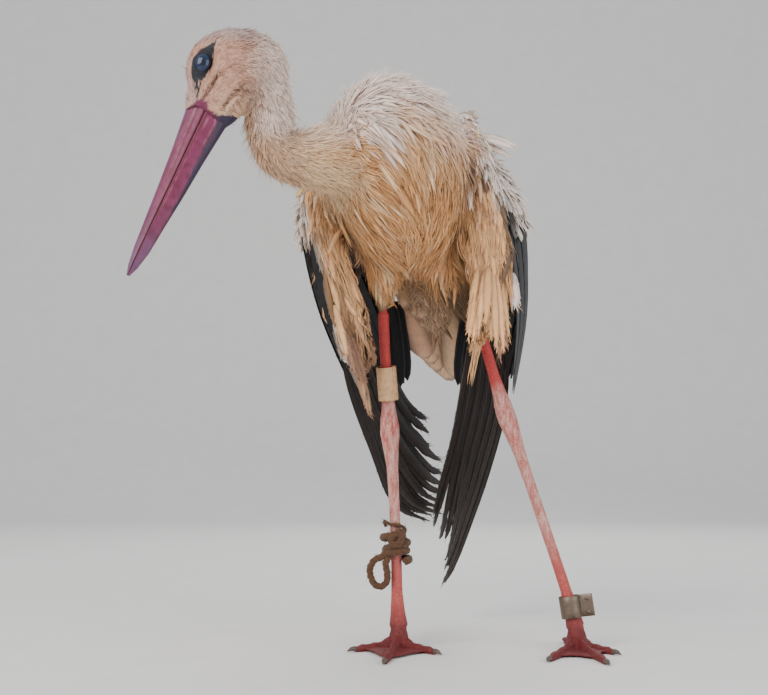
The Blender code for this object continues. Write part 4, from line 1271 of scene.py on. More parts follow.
class STORK_OT_skin(bpy.types.Operator):
    """Makes the one skin under the feathers, with lids, bare face and cheek folds"""

    bl_idname = "stork.skin"
    bl_label = "Skin"

    def execute(self, context):
        look = skin_look()
        voxel = context.scene.stork_plumage.skin_voxel
        skin, finder, owner = fused("skin", FLESH, voxel, SKIN_GROW, look)
        mesh = skin.data
        self.refine_round_eyes(mesh)
        mean = neighbour_mean(mesh)
        points = relax(points_of(mesh), mean, 7)
        place_points(mesh, points)
        nearest = np.array([owner[finder.find_nearest(p)[2]] for p in points.tolist()])
        owners = np.array(FLESH)[nearest]
        depth = np.array(list(COAT_DEPTH.values()))[nearest]
        points = points - points_of(mesh, "normal") * self.sunk(mesh, points, mean, depth)[:, None]
        points = self.narrow_thighs(shape_rim(points), owners)
        gap = crease_gap(points)
        place_points(mesh, points)
        normals = points_of(mesh, "normal")
        on_cheek = smooth(-0.100, -0.115, points[:, 0] + ORIGIN[0])
        on_cheek = on_cheek * smooth(0.30, 0.65, np.abs(normals[:, 1]))
        fold = 0.0026 * np.exp(-((gap / 0.0014) ** 2)) - 0.0010 * np.exp(-(((gap - 0.0042) / 0.0020) ** 2))
        points = shape_lids(points - normals * (fold * on_cheek)[:, None])
        place_points(mesh, points)
        self.paint(context, mesh, points, owners, np.exp(-((gap / 0.0010) ** 2)) * on_cheek)
        mesh.materials.clear()
        mesh.materials.append(look)
        mesh.shade_smooth()
        self.unwrap(context, skin)
        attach(skin, "root")
        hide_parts(*FLESH)
        GROUND["skin"] = Ground(skin, finder, owner, FLESH)
        return {"FINISHED"}

    def sunk(self, mesh, points, mean, depth):
        """How far each point goes in to make room for the coat, less where the body is thin."""
        for _ in range(14):
            depth = mean(depth)
        tree = BVHTree.FromPolygons(points.tolist(), [tuple(p.vertices) for p in mesh.polygons])
        inward = []
        for point, normal in zip(points.tolist(), points_of(mesh, "normal").tolist()):
            way = Vector(normal) * -1
            hit = tree.ray_cast(Vector(point) + way * 1e-4, way, DEEPEST)
            inward.append(hit[3] if hit[3] is not None else DEEPEST)
        sink = np.minimum(depth + SKIN_GROW, np.array(inward) * 0.34)
        for _ in range(4):
            sink = mean(sink)
        return sink

    def narrow_thighs(self, points, owners):
        """Draws each thigh in towards the bare leg."""
        for side_name, line in THIGHS.items():
            end = np.array(line[-1]) - ORIGIN
            narrow = 0.46 * smooth(end[2] + 0.034, end[2] + 0.002, points[:, 2])
            narrow = narrow * (owners == f"thigh_{side_name}")
            points[:, :2] += (end[:2] - points[:, :2]) * narrow[:, None]
        return points

    def paint(self, context, mesh, points, owners, fold):
        """The coat's markings a little darker, the folds' shade, the gape's red and the bare black face."""
        colours = plumage_colours(context.scene.stork_plumage)
        parts = context.scene.stork_bare
        tint = body_tint(points, points_of(mesh, "normal"), colours)
        for side_name in WINGS:
            on_wing = np.isin(owners, (f"wing_{side_name}_arm", f"wing_{side_name}_hand"))
            tint[on_wing] = wing_tint(points[on_wing], colours, side_name)
        tint = mix(tint * 0.92, np.array(srgb(70, 40, 32)), fold * 0.95)
        across = bill_places(points)[1]
        cloud = wave_noise(points, 260.0, 9.0)
        gape = mix(np.array(parts.bill) * 0.85, np.array(parts.bill_deep), smooth(-0.2, 0.5, cloud) * 0.7)
        gape = mix(gape, np.array(parts.bill_blue), smooth(0.006, 0.017, across + 0.004 * cloud) * 0.9)
        gape = mix(gape, np.array(parts.bill_blue), smooth(-0.008, -0.016, across) * 0.6)
        tint = mix(tint, gape, bare_gape(points) * np.isin(owners, ("head", "neck_upper")))
        set_tint(mesh, mix(tint, np.array(parts.bare_black), bare_share(points)))

    def refine_round_eyes(self, mesh):
        """Finer squares near the eyes, where the lids and the cheek folds are."""
        build = bmesh.new()
        build.from_mesh(mesh)
        for reach in (0.024, 0.017):
            near = []
            for edge in build.edges:
                middle = np.array((edge.verts[0].co + edge.verts[1].co) / 2)
                if min(np.linalg.norm(middle - eye_centre(sign)) for sign in (1, -1)) < reach:
                    near.append(edge)
            bmesh.ops.subdivide_edges(build, edges=near, cuts=1, use_grid_fill=True)
        bmesh.ops.triangulate(build, faces=[face for face in build.faces if len(face.verts) > 4])
        build.to_mesh(mesh)
        build.free()

    def unwrap(self, context, skin):
        skin.data.uv_layers.new(name=SKIN_MAP)
        for other in context.view_layer.objects:
            other.select_set(False)
        skin.select_set(True)
        context.view_layer.objects.active = skin
        bpy.ops.object.mode_set(mode="EDIT")
        bpy.ops.mesh.select_all(action="SELECT")
        bpy.ops.uv.smart_project(angle_limit=math.radians(60), island_margin=0.002)
        bpy.ops.object.mode_set(mode="OBJECT")
        skin.select_set(False)


class STORK_OT_head_feathers(bpy.types.Operator):
    """Grows the short feathers of the face and crown and the loose ones of the nape"""

    bl_idname = "stork.head_feathers"
    bl_label = "Head feathers"

    def execute(self, context):
        rng = rng_for(context, 1)
        colours = plumage_colours(context.scene.stork_plumage)
        ahead = unit(BILL_TIP - BILL_BASE)

        def tint(points, normals):
            base = body_tint(points, normals, colours)
            # painted shade along the folds of the cheek and the throat
            fold = np.exp(-((crease_gap(points) / 0.0026) ** 2)) * smooth(0.35, 0.75, np.abs(normals[:, 1]))
            return mix(base, np.array(srgb(104, 66, 50)), fold * 0.9)

        def face_size(points, normals):
            laid = points + ORIGIN
            from_eye = np.linalg.norm(laid[:, [0, 2]] - EYE_MIDDLE[[0, 2]], axis=1)
            from_bill = np.linalg.norm(laid - BILL_BASE, axis=1)
            back = smooth(-0.135, -0.095, laid[:, 0])
            near = np.minimum(smooth(0.006, 0.030, from_eye), smooth(0.010, 0.045, from_bill))
            return 0.0036 + 0.0030 * near + 0.0040 * back

        def face_breadth(points, normals):
            return 0.00062 + 0.00035 * smooth(-0.135, -0.095, points[:, 0] + ORIGIN[0])

        def bare(points, normals):
            low = smooth(0.518, 0.500, points[:, 2])
            sparse = bare_share(points) * (1 - 0.55 * low) > rng.uniform(0.15, 0.75, len(points))
            gape = bare_gape(points) > rng.uniform(0.2, 0.8, len(points))
            near = np.linalg.norm(points + ORIGIN - BILL_BASE, axis=1) < 0.030
            folded = (crease_gap(points) < 0.0013) & (points[:, 0] + ORIGIN[0] < -0.115)
            return sparse | gape | folded | (near & (normals @ ahead > 0.55))

        def rear(points, normals):
            return smooth(-0.135, -0.100, points[:, 0] + ORIGIN[0]) + 0.02

        face = grow_vanes(
            "head", amount(context, 7600), rng, face_size, face_breadth, tint, stations=4, swerve=0.14,
            rise=0.0011, ruffle=0.05, slant=0.15, thick=0.00028, drop=bare, sag=0.15,
        )
        put_split("plumage_face", face, LEAF)
        nape = grow_plumes(
            "head", amount(context, 1500), rng, steady(0.0105), tint, stations=4, wanted=rear, swerve=0.26,
            rise=0.0026, ruffle=0.25, spread=0.0010, width=0.00055, thick=0.00025, drop=bare,
        )
        put_split("plumage_nape", nape, STRAND)
        return {"FINISHED"}


class STORK_OT_neck_feathers(bpy.types.Operator):
    """Grows the hair-like plumes of the neck"""

    bl_idname = "stork.neck_feathers"
    bl_label = "Neck feathers"

    def execute(self, context):
        rng = rng_for(context, 2)
        colours = plumage_colours(context.scene.stork_plumage)

        def size(points, normals):
            laid = points + ORIGIN
            return 0.014 + 0.012 * smooth(-0.10, -0.04, laid[:, 0])

        def breadth(points, normals):
            return 0.0012 + 0.0010 * smooth(-0.10, -0.04, points[:, 0] + ORIGIN[0])

        def tint(points, normals):
            return body_tint(points, normals, colours)

        def drop(points, normals):
            return bare_gape(points) > 0.5

        under = grow_vanes(
            "neck", amount(context, 1800), rng, size, breadth, tint, stations=5, rise=0.0022, ruffle=0.05,
            slant=0.12, thick=0.0004, drop=drop,
        )
        put_split("plumage_neck_under", under, LEAF)
        neck = grow_plumes(
            "neck", amount(context, 2500), rng, size, tint, swerve=0.17, rise=0.0042, ruffle=0.16,
            spread=0.0013, width=0.00062, thick=0.00030, drop=drop,
        )
        put_split("plumage_neck", neck, STRAND)
        return {"FINISHED"}


def on_back(points, normals):
    """1 on the clean upper side of the body, 0 on breast and flanks."""
    return smooth(-0.10, 0.35, normals[:, 2]) * smooth(0.43, 0.48, points[:, 2])


def in_front(points, normals):
    return 1.02 - on_back(points, normals)


class STORK_OT_body_feathers(bpy.types.Operator):
    """Grows the long pointed plumes of breast and flanks, the ruffled back and the thighs"""

    bl_idname = "stork.body_feathers"
    bl_label = "Body feathers"

    def execute(self, context):
        rng = rng_for(context, 3)
        colours = plumage_colours(context.scene.stork_plumage)

        def size(points, normals):
            return 0.042 - 0.014 * on_back(points, normals)

        def breadth(points, normals):
            return 0.0036 - 0.0009 * on_back(points, normals)

        def tint(points, normals):
            return body_tint(points, normals, colours)

        def in_fold(points, normals):
            laid = points + ORIGIN
            gaps = [line_distance(laid[:, [0, 2]], line)[0] for line in WING_FOLDS.values()]
            return (np.minimum(*gaps) < 0.0035) & (laid[:, 1] < 0.02)

        under = grow_vanes(
            "body", amount(context, 2300), rng, size, breadth, tint, wanted=in_front, rise=0.0034,
            ruffle=0.05, slant=0.10, drop=in_fold,
        )
        put_split("plumage_breast_under", under, LEAF)
        front = grow_plumes(
            "body", amount(context, 1500), rng, size, tint, stations=6, strands=4, wanted=in_front,
            swerve=0.16, rise=0.0058, ruffle=0.08, spread=0.0030, width=0.00085, drop=in_fold,
        )
        put_split("plumage_breast", front, STRAND)
        hackles = grow_vanes(
            "body", amount(context, 2900), rng, size, breadth, tint, stations=5, wanted=on_back,
            swerve=0.20, rise=0.0046, ruffle=0.14, slant=0.16,
        )
        put_split("plumage_back_under", hackles, LEAF)
        back = grow_plumes(
            "body", amount(context, 1300), rng, size, tint, wanted=on_back, swerve=0.26, rise=0.0062,
            ruffle=0.22, width=0.00070, thick=0.00032,
        )
        put_split("plumage_back", back, STRAND)
        self.vent(context, rng, tint)
        for side_name in WINGS:
            self.thigh(context, rng, tint, side_name)
        return {"FINISHED"}

    def thigh(self, context, rng, tint, side_name):
        """Feathers that shorten towards the bare leg."""
        part = f"thigh_{side_name}"
        end = THIGHS[side_name][-1][2]

        def size(points, normals):
            return 0.012 + 0.014 * smooth(end + 0.006, end + 0.040, points[:, 2])

        vanes = grow_vanes(
            part, amount(context, 320), rng, size, steady(0.0022), tint, stations=5, swerve=0.10,
            rise=0.0014, ruffle=0.03, slant=0.12, droop=0.03,
        )
        put_split(f"plumage_{part}_under", vanes, LEAF)
        plumes = grow_plumes(
            part, amount(context, 320), rng, size, tint, swerve=0.10, rise=0.0022, ruffle=0.04,
            spread=0.0018, width=0.0007, droop=0.03,
        )
        put_split(f"plumage_{part}", plumes, STRAND)

    def vent(self, context, rng, tint):
        """The long soft feathers under the tail's root."""

        def behind_below(points, normals):
            laid = points + ORIGIN
            return smooth(-0.02, 0.04, laid[:, 1]) * smooth(0.2, -0.3, normals[:, 2]) + 1e-6

        # the body's tint here holds the belly's painted shade, paled towards the tail
        def pale(points, normals):
            behind = smooth(0.02, 0.09, points[:, 1] + ORIGIN[1])
            tail = np.array(context.scene.stork_plumage.tail)
            return mix(tint(points, normals), tail, 0.45 + 0.45 * behind)

        vanes = grow_vanes(
            "vent", amount(context, 420), rng, steady(0.034), steady(0.0062), pale, wanted=behind_below,
            swerve=0.14, rise=0.0034, shape=ROUNDED, slant=0.15, droop=0.01,
        )
        put_split("plumage_vent_under", vanes, LEAF)
        wisps = grow_plumes(
            "vent", amount(context, 300), rng, steady(0.034), pale, stations=6, strands=4,
            wanted=behind_below, swerve=0.12, rise=0.0040, spread=0.0034, width=0.0009, droop=0.02,
        )
        put_split("plumage_vent", wisps, STRAND)


# The innermost black feathers of both wings, which hang beside the tail: (root, tip, half width)
INNERMOST = (
    ((-0.0010, 0.116, 0.3640), (0.0090, 0.140, 0.2780), 0.0090),
    ((0.0080, 0.120, 0.3640), (0.0190, 0.144, 0.2690), 0.0090),
    ((0.0150, 0.124, 0.3640), (0.0270, 0.148, 0.2760), 0.0080),
    ((0.1040, 0.126, 0.3700), (0.0900, 0.146, 0.2700), 0.0095),
    ((0.1120, 0.122, 0.3700), (0.0980, 0.142, 0.2520), 0.0095),
    ((0.1180, 0.118, 0.3700), (0.1080, 0.138, 0.2600), 0.0090),
)

# Where the breast meets each wing, the outer edges of the coverts and brown patches on them, as (x, z)
WING_FOLDS = {
    "left": ((0.0750, 0.4870), (0.0780, 0.4663), (0.0800, 0.4187), (0.0770, 0.3700)),
    "right": ((-0.0500, 0.4400), (-0.0400, 0.4100), (-0.0300, 0.3800), (-0.0180, 0.3520)),
}
COVERT_EDGES = {
    "left": ((0.1292, 0.3443), (0.1296, 0.3830), (0.1238, 0.3992), (0.1065, 0.4585), (0.0907, 0.4884)),
    "right": ((-0.0189, 0.2659), (-0.0475, 0.3087), (-0.0593, 0.3861), (-0.0821, 0.4601)),
}
BROWN_PATCHES = (
    (((0.0938, 0.4844), (0.0985, 0.4640)), 0.0030),
    (((0.1074, 0.4518), (0.1170, 0.4250), (0.1227, 0.3992)), 0.0040),
)

# Where the right hand's inner edge turns so sharply that a long feather would stand off it
SHARP_TURN = np.array((-0.0429, -0.0442, 0.3940))

# Single feathers that have come loose: (root, tip, half width, colour, bow towards the front, end)
LOOSE = (
    ((0.0980, -0.014, 0.5140), (0.1355, -0.026, 0.4970), 0.0056, "wing_white", 0.004, POINTED),
    ((0.1000, -0.018, 0.5080), (0.1290, -0.030, 0.4950), 0.0040, "wing_white", 0.003, POINTED),
    ((0.0990, -0.014, 0.5040), (0.1260, -0.024, 0.4880), 0.0040, "wing_white", 0.003, POINTED),
    ((0.1290, 0.005, 0.3700), (0.1325, 0.004, 0.3350), 0.0056, "wing_white", 0.003, ROUNDED),
    ((-0.0780, -0.014, 0.4560), (-0.0840, -0.020, 0.4400), 0.0036, "wing_white", 0.004, ROUNDED),
    ((-0.0770, -0.016, 0.4500), (-0.0810, -0.022, 0.4300), 0.0030, "wing_white", 0.003, POINTED),
    ((-0.0520, -0.006, 0.3400), (-0.0300, 0.006, 0.2760), 0.0022, "wing_white", 0.002, POINTED),
    ((-0.0420, -0.040, 0.3180), (-0.0270, -0.030, 0.2640), 0.0032, "covert_soiled", 0.004, POINTED),
    ((-0.0380, -0.036, 0.3120), (-0.0215, -0.024, 0.2600), 0.0026, "covert_soiled", 0.004, POINTED),
    ((-0.0330, -0.030, 0.3060), (-0.0170, -0.018, 0.2600), 0.0030, "covert_soiled", 0.004, POINTED),
    ((-0.0480, -0.044, 0.3340), (-0.0350, -0.036, 0.2830), 0.0034, "covert_cream", 0.004, POINTED),
    ((0.0900, -0.054, 0.3700), (0.0790, -0.060, 0.3050), 0.0040, "covert_cream", 0.003, POINTED),
    ((0.0930, -0.056, 0.3640), (0.0800, -0.064, 0.2980), 0.0042, "covert_cream", 0.004, POINTED),
    ((0.0960, -0.057, 0.3600), (0.0845, -0.066, 0.2960), 0.0040, "covert_cream", 0.003, POINTED),
    ((0.0980, -0.058, 0.3660), (0.0900, -0.066, 0.3040), 0.0042, "covert_cream", 0.004, POINTED),
    ((0.0990, -0.056, 0.3500), (0.0880, -0.062, 0.3100), 0.0030, "wing_white", 0.003, POINTED),
    ((0.1010, -0.058, 0.3700), (0.0975, -0.065, 0.3120), 0.0044, "covert_cream", 0.004, POINTED),
    ((0.1030, -0.057, 0.3620), (0.1030, -0.063, 0.2960), 0.0040, "covert_cream", 0.003, POINTED),
    ((0.1050, -0.056, 0.3680), (0.1080, -0.062, 0.2880), 0.0042, "covert_cream", 0.004, POINTED),
    ((0.1070, -0.055, 0.3560), (0.1120, -0.060, 0.2760), 0.0036, "covert_soiled", 0.003, POINTED),
    ((0.1090, -0.054, 0.3640), (0.1150, -0.058, 0.2850), 0.0038, "covert_cream", 0.004, POINTED),
    ((0.1110, -0.051, 0.3520), (0.1190, -0.054, 0.2900), 0.0030, "covert_soiled", 0.003, POINTED),
    ((0.1130, -0.048, 0.3600), (0.1210, -0.050, 0.3010), 0.0032, "covert_cream", 0.003, POINTED),
    ((0.1060, -0.058, 0.3440), (0.1100, -0.063, 0.2740), 0.0016, "covert_brown", 0.004, POINTED),
    ((0.1000, -0.059, 0.3460), (0.0950, -0.066, 0.3060), 0.0014, "covert_brown", 0.003, POINTED),
)


def loose_blades(rows, colours, rng, stations=9):
    """Single feathers from rows of root, tip, half width, colour, bow and shape."""
    share = np.linspace(0, 1, stations)
    centre, half, base = [], [], []
    for root, tip, breadth, colour, bow, shape in rows:
        root, tip = np.array(root) - ORIGIN, np.array(tip) - ORIGIN
        if root[0] > 0.05 and root[2] < 0.38:
            # those at the end of the left wing's coverts grow out of the skin
            spot, face, _ = skin_ground().snap(root[None, :])
            drawn = (spot[0] + face[0] * 0.002 - root) * np.array((0.3, 1.0, 0.3))
            root, tip = root + drawn, tip + drawn
        bend = np.sin(share * math.pi)[:, None]
        centre.append(root + (tip - root) * share[:, None] + np.array((0.0, -bow, 0.0)) * bend)
        half.append(np.maximum(breadth * np.interp(share, *shape), 0.00015))
        base.append(colours[colour])
    centre, half, base = np.array(centre), np.array(half), np.array(base)
    normal = unit(np.array((0.0, -1.0, 0.15)) + rng.normal(0, 0.25, (len(rows), 3)))
    normal = np.repeat(normal[:, None, :], stations, axis=1)
    thick = 0.0006 * np.interp(share, (0, 1), (1.2, 0.4))
    tint = shaded(base, rng, stations)
    return Blades(centre, normal, half, thick[None, :], flat_under(centre[:, 0]), tint, slant=0.35, sag=0.18)


class STORK_OT_coverts(bpy.types.Operator):
    """Grows the coverts of both wings, white above and cream along the leading edge"""

    bl_idname = "stork.coverts"
    bl_label = "Coverts"

    def execute(self, context):
        colours = plumage_colours(context.scene.stork_plumage)
        for number, side_name in enumerate(WINGS):
            rng = rng_for(context, 10 + number)

            def tint(points, normals):
                return wing_tint(points, colours, side_name)

            def arm_size(points, normals):
                size = 0.018 + 0.012 * smooth(0.50, 0.42, points[:, 2])
                return size * (1 - 0.35 * smooth(-0.004, 0.004, beyond_edge(points, side_name)))

            def arm_breadth(points, normals):
                return 0.0040 + 0.0014 * smooth(0.50, 0.39, points[:, 2])

            def hand_size(points, normals):
                size = 0.028 + 0.030 * smooth(0.48, 0.36, points[:, 2])
                return size * (1 - 0.65 * smooth(0.515, 0.532, points[:, 2]))

            def hand_breadth(points, normals):
                return 0.0036 + 0.0016 * smooth(0.48, 0.36, points[:, 2])

            def outside(points, normals, margin=0.0, top=0.46):
                """Where the wing's end looks down, and in front beyond the edge of the coverts."""
                edge = (beyond_edge(points, side_name) > margin) & (points[:, 2] < top)
                return (normals[:, 2] < -0.70) | (edge & (points[:, 1] + ORIGIN[1] < 0.0))

            def well_outside(points, normals):
                sharp = np.linalg.norm(points + ORIGIN - SHARP_TURN, axis=1) < 0.004
                return outside(points, normals, 0.0005, 0.450) | sharp

            arm, hand = f"wing_{side_name}_arm", f"wing_{side_name}_hand"
            tiles = grow_vanes(
                arm, amount(context, 760), rng, arm_size, arm_breadth, tint, swerve=0.16, rise=0.0044,
                shape=ROUNDED, slant=0.45, drop=well_outside, droop=0.04,
            )
            put_split(f"coverts_{side_name}_arm_under", tiles, LEAF)
            wisps = grow_plumes(
                arm, amount(context, 420), rng, arm_size, tint, rise=0.0056, ruffle=0.12, spread=0.0028,
                width=0.0009, drop=outside, droop=0.04,
            )
            put_split(f"coverts_{side_name}_arm", wisps, STRAND)
            long_ones = grow_vanes(
                hand, amount(context, 460), rng, hand_size, hand_breadth, tint, stations=7, rise=0.0036,
                ruffle=0.05, drop=well_outside, droop=0.05,
            )
            put_split(f"coverts_{side_name}_hand_under", long_ones, LEAF)
            frays = barb_blades(long_ones, rng, 7, 0.0055, 0.15)
            put_split(f"coverts_{side_name}_hand_barbs", frays, STRAND)
            fringe = grow_plumes(
                hand, amount(context, 300), rng, hand_size, tint, stations=6, swerve=0.14, rise=0.0046,
                ruffle=0.10, spread=0.0026, width=0.0008, drop=outside, droop=0.05,
            )
            put_split(f"coverts_{side_name}_hand", fringe, STRAND)
        rng = rng_for(context, 15)
        loose = loose_blades(LOOSE, colours, rng)
        put_blades("loose_feathers", loose, VANE, soft_look())
        frays = barb_blades(loose, rng, 34, 0.006, 0.15)
        put_blades("loose_feathers_barbs", frays, STRAND, soft_look())
        return {"FINISHED"}


def rib_point(ribs, u, v):
    """A point of the sheet through the ribs, at u across them and v down them."""
    return curve_at([curve_at(rib, v) for rib in ribs], u) - ORIGIN


def flight_blades(ribs, count, v_from, stop_at, rng, breadth, tint_of, notch, wear, stations,
                  splay=(0.0, 0.0), slim=1.0):
    """Long feathers down a wing's ribs, each lying partly over the next, with rounded and worn ends.

    stop_at gives how far down the ribs a feather ends by its place across them, and splay how far along x the
    ends of the first and the last one part.
    """
    us = np.clip(np.linspace(0.03, 0.97, count) + rng.normal(0, 0.10 / count, count), 0.02, 0.98)
    share = np.linspace(0, 1, stations)
    centre, normal, half = [], [], []
    for number, u in enumerate(us):
        stop = np.interp(u, *stop_at) - notch * rng.uniform(0.0, 1.0)
        vs = v_from + (stop - v_from) * share
        drift = rng.normal(0, 0.012)
        line = np.array([rib_point(ribs, np.clip(u + drift * v, 0, 1), v) for v in vs])
        low, high = max(u - 0.02, 0), min(u + 0.02, 1)
        aside = np.array([rib_point(ribs, high, v) - rib_point(ribs, low, v) for v in vs])
        gauge = np.linalg.norm(aside, axis=1) / (high - low) / count
        ahead = unit(np.gradient(line, axis=0))
        up = unit(np.cross(unit(aside), ahead))
        up = unit(up + unit(aside) * 0.10)
        round_end = np.sqrt(np.clip(1 - np.clip((share - 0.84) / 0.165, 0, 1) ** 2.2, 0.0, 1))
        taper = np.interp(share, (0, 0.12, 0.5, 0.75, 1), (0.25, 0.85, 1.0, 0.5 + 0.5 * slim, slim))
        ragged = 1 - wear * rng.random(stations) * smooth(0.45, 0.95, share)
        width = np.minimum(np.maximum(gauge, breadth * 0.6) * 0.92, breadth) * taper * round_end * ragged
        line = line + np.array((1.0, 0, 0)) * (rng.uniform(*splay) * smooth(0.45, 1.0, share))[:, None]
        centre.append(line + up * (number % 2 - 0.5) * 0.0010)
        normal.append(up)
        half.append(np.maximum(width, 0.00025))
    centre, normal, half = np.array(centre), np.array(normal), np.array(half)
    body = 0.0007 * np.interp(share, (0, 1), (1.3, 0.5))
    tint = tint_of(len(centre), share, rng)
    return Blades(centre, normal, half, body[None, :], flat_under(centre[:, 0]), tint, slant=0.62, sag=0.10)


def shaft_blades(vanes, colour, width=0.00055):
    """The pale shafts that stand a little over their vanes."""
    count, stations = vanes.half.shape
    share = np.linspace(0, 1, stations)
    centre = vanes.centre + vanes.normal * (vanes.thick * 0.9 + 0.0001)[..., None]
    half = np.repeat((width * np.interp(share, (0, 0.8, 1), (1.3, 0.6, 0.15)))[None, :], count, axis=0)
    tint = np.broadcast_to(np.asarray(colour), (count, stations, 3))
    return Blades(centre, vanes.normal, half, (half * 0.8), vanes.flat, tint)


def barb_blades(vanes, rng, each, reach, from_share=0.35):
    """Loose bundles of barbs that stand off the worn edges of long feathers. Few stand near the root."""
    count, stations = vanes.half.shape
    pick = np.repeat(np.arange(count), each)
    total = len(pick)
    place = (from_share + (1 - from_share) * rng.random(total) ** 0.8) * (stations - 1)
    low = np.minimum(place.astype(int), stations - 2)
    part_way = (place - low)[:, None]
    spot = between(vanes.centre, pick, low, part_way)
    ahead = unit(vanes.centre[pick, low + 1] - vanes.centre[pick, low])
    side = rng.choice((-1.0, 1.0), total)
    edge = between(vanes.half, pick, low, part_way[:, 0])
    across = vanes.across[pick, low] * side[:, None]
    lean = rng.uniform(0.12, 0.42, total)[:, None]
    way = ahead * np.cos(lean) + across * np.sin(lean)
    length = reach * rng.uniform(0.5, 1.3, total)
    share = np.linspace(0, 1, 4)
    start = spot + across * (edge * 0.72)[:, None]
    centre = start[:, None, :] + way[:, None, :] * (length[:, None] * share)[..., None]
    lift = rng.normal(0, 0.0005, total)[:, None] * share
    centre = centre + vanes.normal[pick, low][:, None, :] * lift[..., None]
    half = np.repeat((0.00042 * np.interp(share, (0, 1), (1.2, 0.15)))[None, :], total, axis=0)
    tint = vanes.tint[pick, low][:, None, :] * np.array((0.95, 1.0, 1.1, 1.25))[None, :, None]
    normal = np.repeat(vanes.normal[pick, low][:, None, :], 4, axis=1)
    return Blades(centre, normal, half, half * 0.5, vanes.flat[pick], tint)


class STORK_OT_flight_feathers(bpy.types.Operator):
    """Lays out the black secondaries and the worn primaries of both wings"""

    bl_idname = "stork.flight_feathers"
    bl_label = "Flight feathers"

    def execute(self, context):
        colours = plumage_colours(context.scene.stork_plumage)

        def black(count, share, rng):
            base = np.repeat(colours["flight_black"][None, :], count, axis=0)
            return shaded(base, rng, len(share), 0.9, 1.15, 0.15)

        def worn(count, share, rng):
            base = mix(colours["flight_black"], colours["flight_worn"], rng.uniform(0.25, 0.95, count))
            tips = np.repeat((smooth(0.35, 1.0, share) * 0.55)[None, :], count, axis=0)
            return mix(shaded(base, rng, len(share), 0.85, 1.1, 0.12), colours["flight_worn"], tips)

        stops = {
            "left": ((0, 1), (1.0, 1.0)),
            "right": ((0, 0.25, 0.5, 0.75, 1), (1.0, 1.0, 0.97, 0.86, 0.70)),
        }
        splays = {"left": (-0.010, 0.016), "right": (-0.004, 0.004)}
        slims = {"left": 0.85, "right": 0.34}
        for number, side_name in enumerate(WINGS):
            rng = rng_for(context, 20 + number)
            wing = WINGS[side_name]
            long_ones = flight_blades(
                wing["primaries"], 12, 0.0, stops[side_name], rng, 0.0105, worn, notch=0.07, wear=0.34,
                stations=22, splay=splays[side_name], slim=slims[side_name],
            )
            self.lay(f"primaries_{side_name}", long_ones, rng, f"wing_{side_name}_primaries", 34, 0.008)
            inner = flight_blades(
                wing["secondaries"], 15, 0.30, ((0, 1), (1.0, 1.0)), rng, 0.0125, black, notch=0.09,
                wear=0.06, stations=14,
            )
            self.lay(f"secondaries_{side_name}", inner, rng, f"wing_{side_name}_secondaries", 12, 0.004)
        rows = [(*row, "flight_black", 0.002, ROUNDED) for row in INNERMOST]
        innermost = loose_blades(rows, colours, rng_for(context, 25), 14)
        put_blades("secondaries_innermost", innermost, VANE, flight_look())
        return {"FINISHED"}

    def lay(self, name, vanes, rng, node, barbs, reach):
        look = flight_look()
        made = put_blades(name, vanes, VANE, look)
        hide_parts(node)
        shafts = shaft_blades(vanes, srgb(58, 50, 45), 0.0004)
        put_blades(name + "_shafts", shafts, STRAND, look)
        put_blades(name + "_barbs", barb_blades(vanes, rng, barbs, reach), STRAND, look)


class STORK_OT_tail(bpy.types.Operator):
    """Lays out the beige tail feathers with their shafts and loose barbs"""

    bl_idname = "stork.tail"
    bl_label = "Tail"

    def execute(self, context):
        rng = rng_for(context, 30)
        colours = plumage_colours(context.scene.stork_plumage)
        left, along, upward = tail_axes()
        count, stations = 7, 20
        share = np.linspace(0, 1, stations)
        centre, normal, half = [], [], []
        for number in range(count):
            fan = number / (count - 1) * 2 - 1
            start = TAIL_ROOT + left * (fan * 0.018 + 0.002) - along * 0.012
            reach = TAIL_LENGTH * (np.interp(fan, *TAIL_ENDS) + rng.normal(0, 0.006))
            end = TAIL_ROOT + along * reach + left * (fan * 0.015 + 0.009)
            bend = share * (1 - share)
            line = start + (end - start) * share[:, None] + left * (fan * 0.020 * bend)[:, None]
            line = line - upward * (0.007 * fan * fan * share)[:, None] + upward * (0.0018 * (number % 2))
            centre.append(line - ORIGIN)
            normal.append(np.repeat(unit(upward + left * (fan * 0.10 + 0.05))[None, :], stations, axis=0))
            round_end = np.sqrt(np.clip(1 - np.clip((share - 0.84) / 0.162, 0, 1) ** 2.0, 0.0, 1))
            width = np.interp(share, (0, 0.2, 0.6, 0.85, 1), (0.40, 0.85, 1.0, 0.85, 0.6))
            width = width * round_end * TAIL_HALF_BREADTH
            half.append(np.maximum(width * (1 - 0.04 * rng.random(stations)), 0.00025))
        centre, normal, half = np.array(centre), np.array(normal), np.array(half)
        flat = flat_under(centre[:, 0])
        body = 0.0007 * np.interp(share, (0, 1), (1.3, 0.5))
        tint = shaded(np.repeat(colours["tail"][None, :], count, axis=0), rng, stations, 0.85, 1.0, 0.05)
        fringe = np.interp(share, (0, 0.955, 0.985, 1), (1.0, 1.0, 0.55, 0.45))
        tint = tint * fringe[None, :, None]
        vanes = Blades(centre, normal, half, body[None, :], flat, tint, slant=0.05, sag=0.02)
        made = put_blades("tail_feathers", vanes, VANE, soft_look())
        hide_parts("tail")
        shafts = shaft_blades(vanes, colours["tail"] * 1.1)
        put_blades("tail_feathers_shafts", shafts, STRAND, soft_look())
        barbs = barb_blades(vanes, rng, 22, 0.006, 0.5)
        put_blades("tail_feathers_barbs", barbs, STRAND, soft_look())
        return {"FINISHED"}


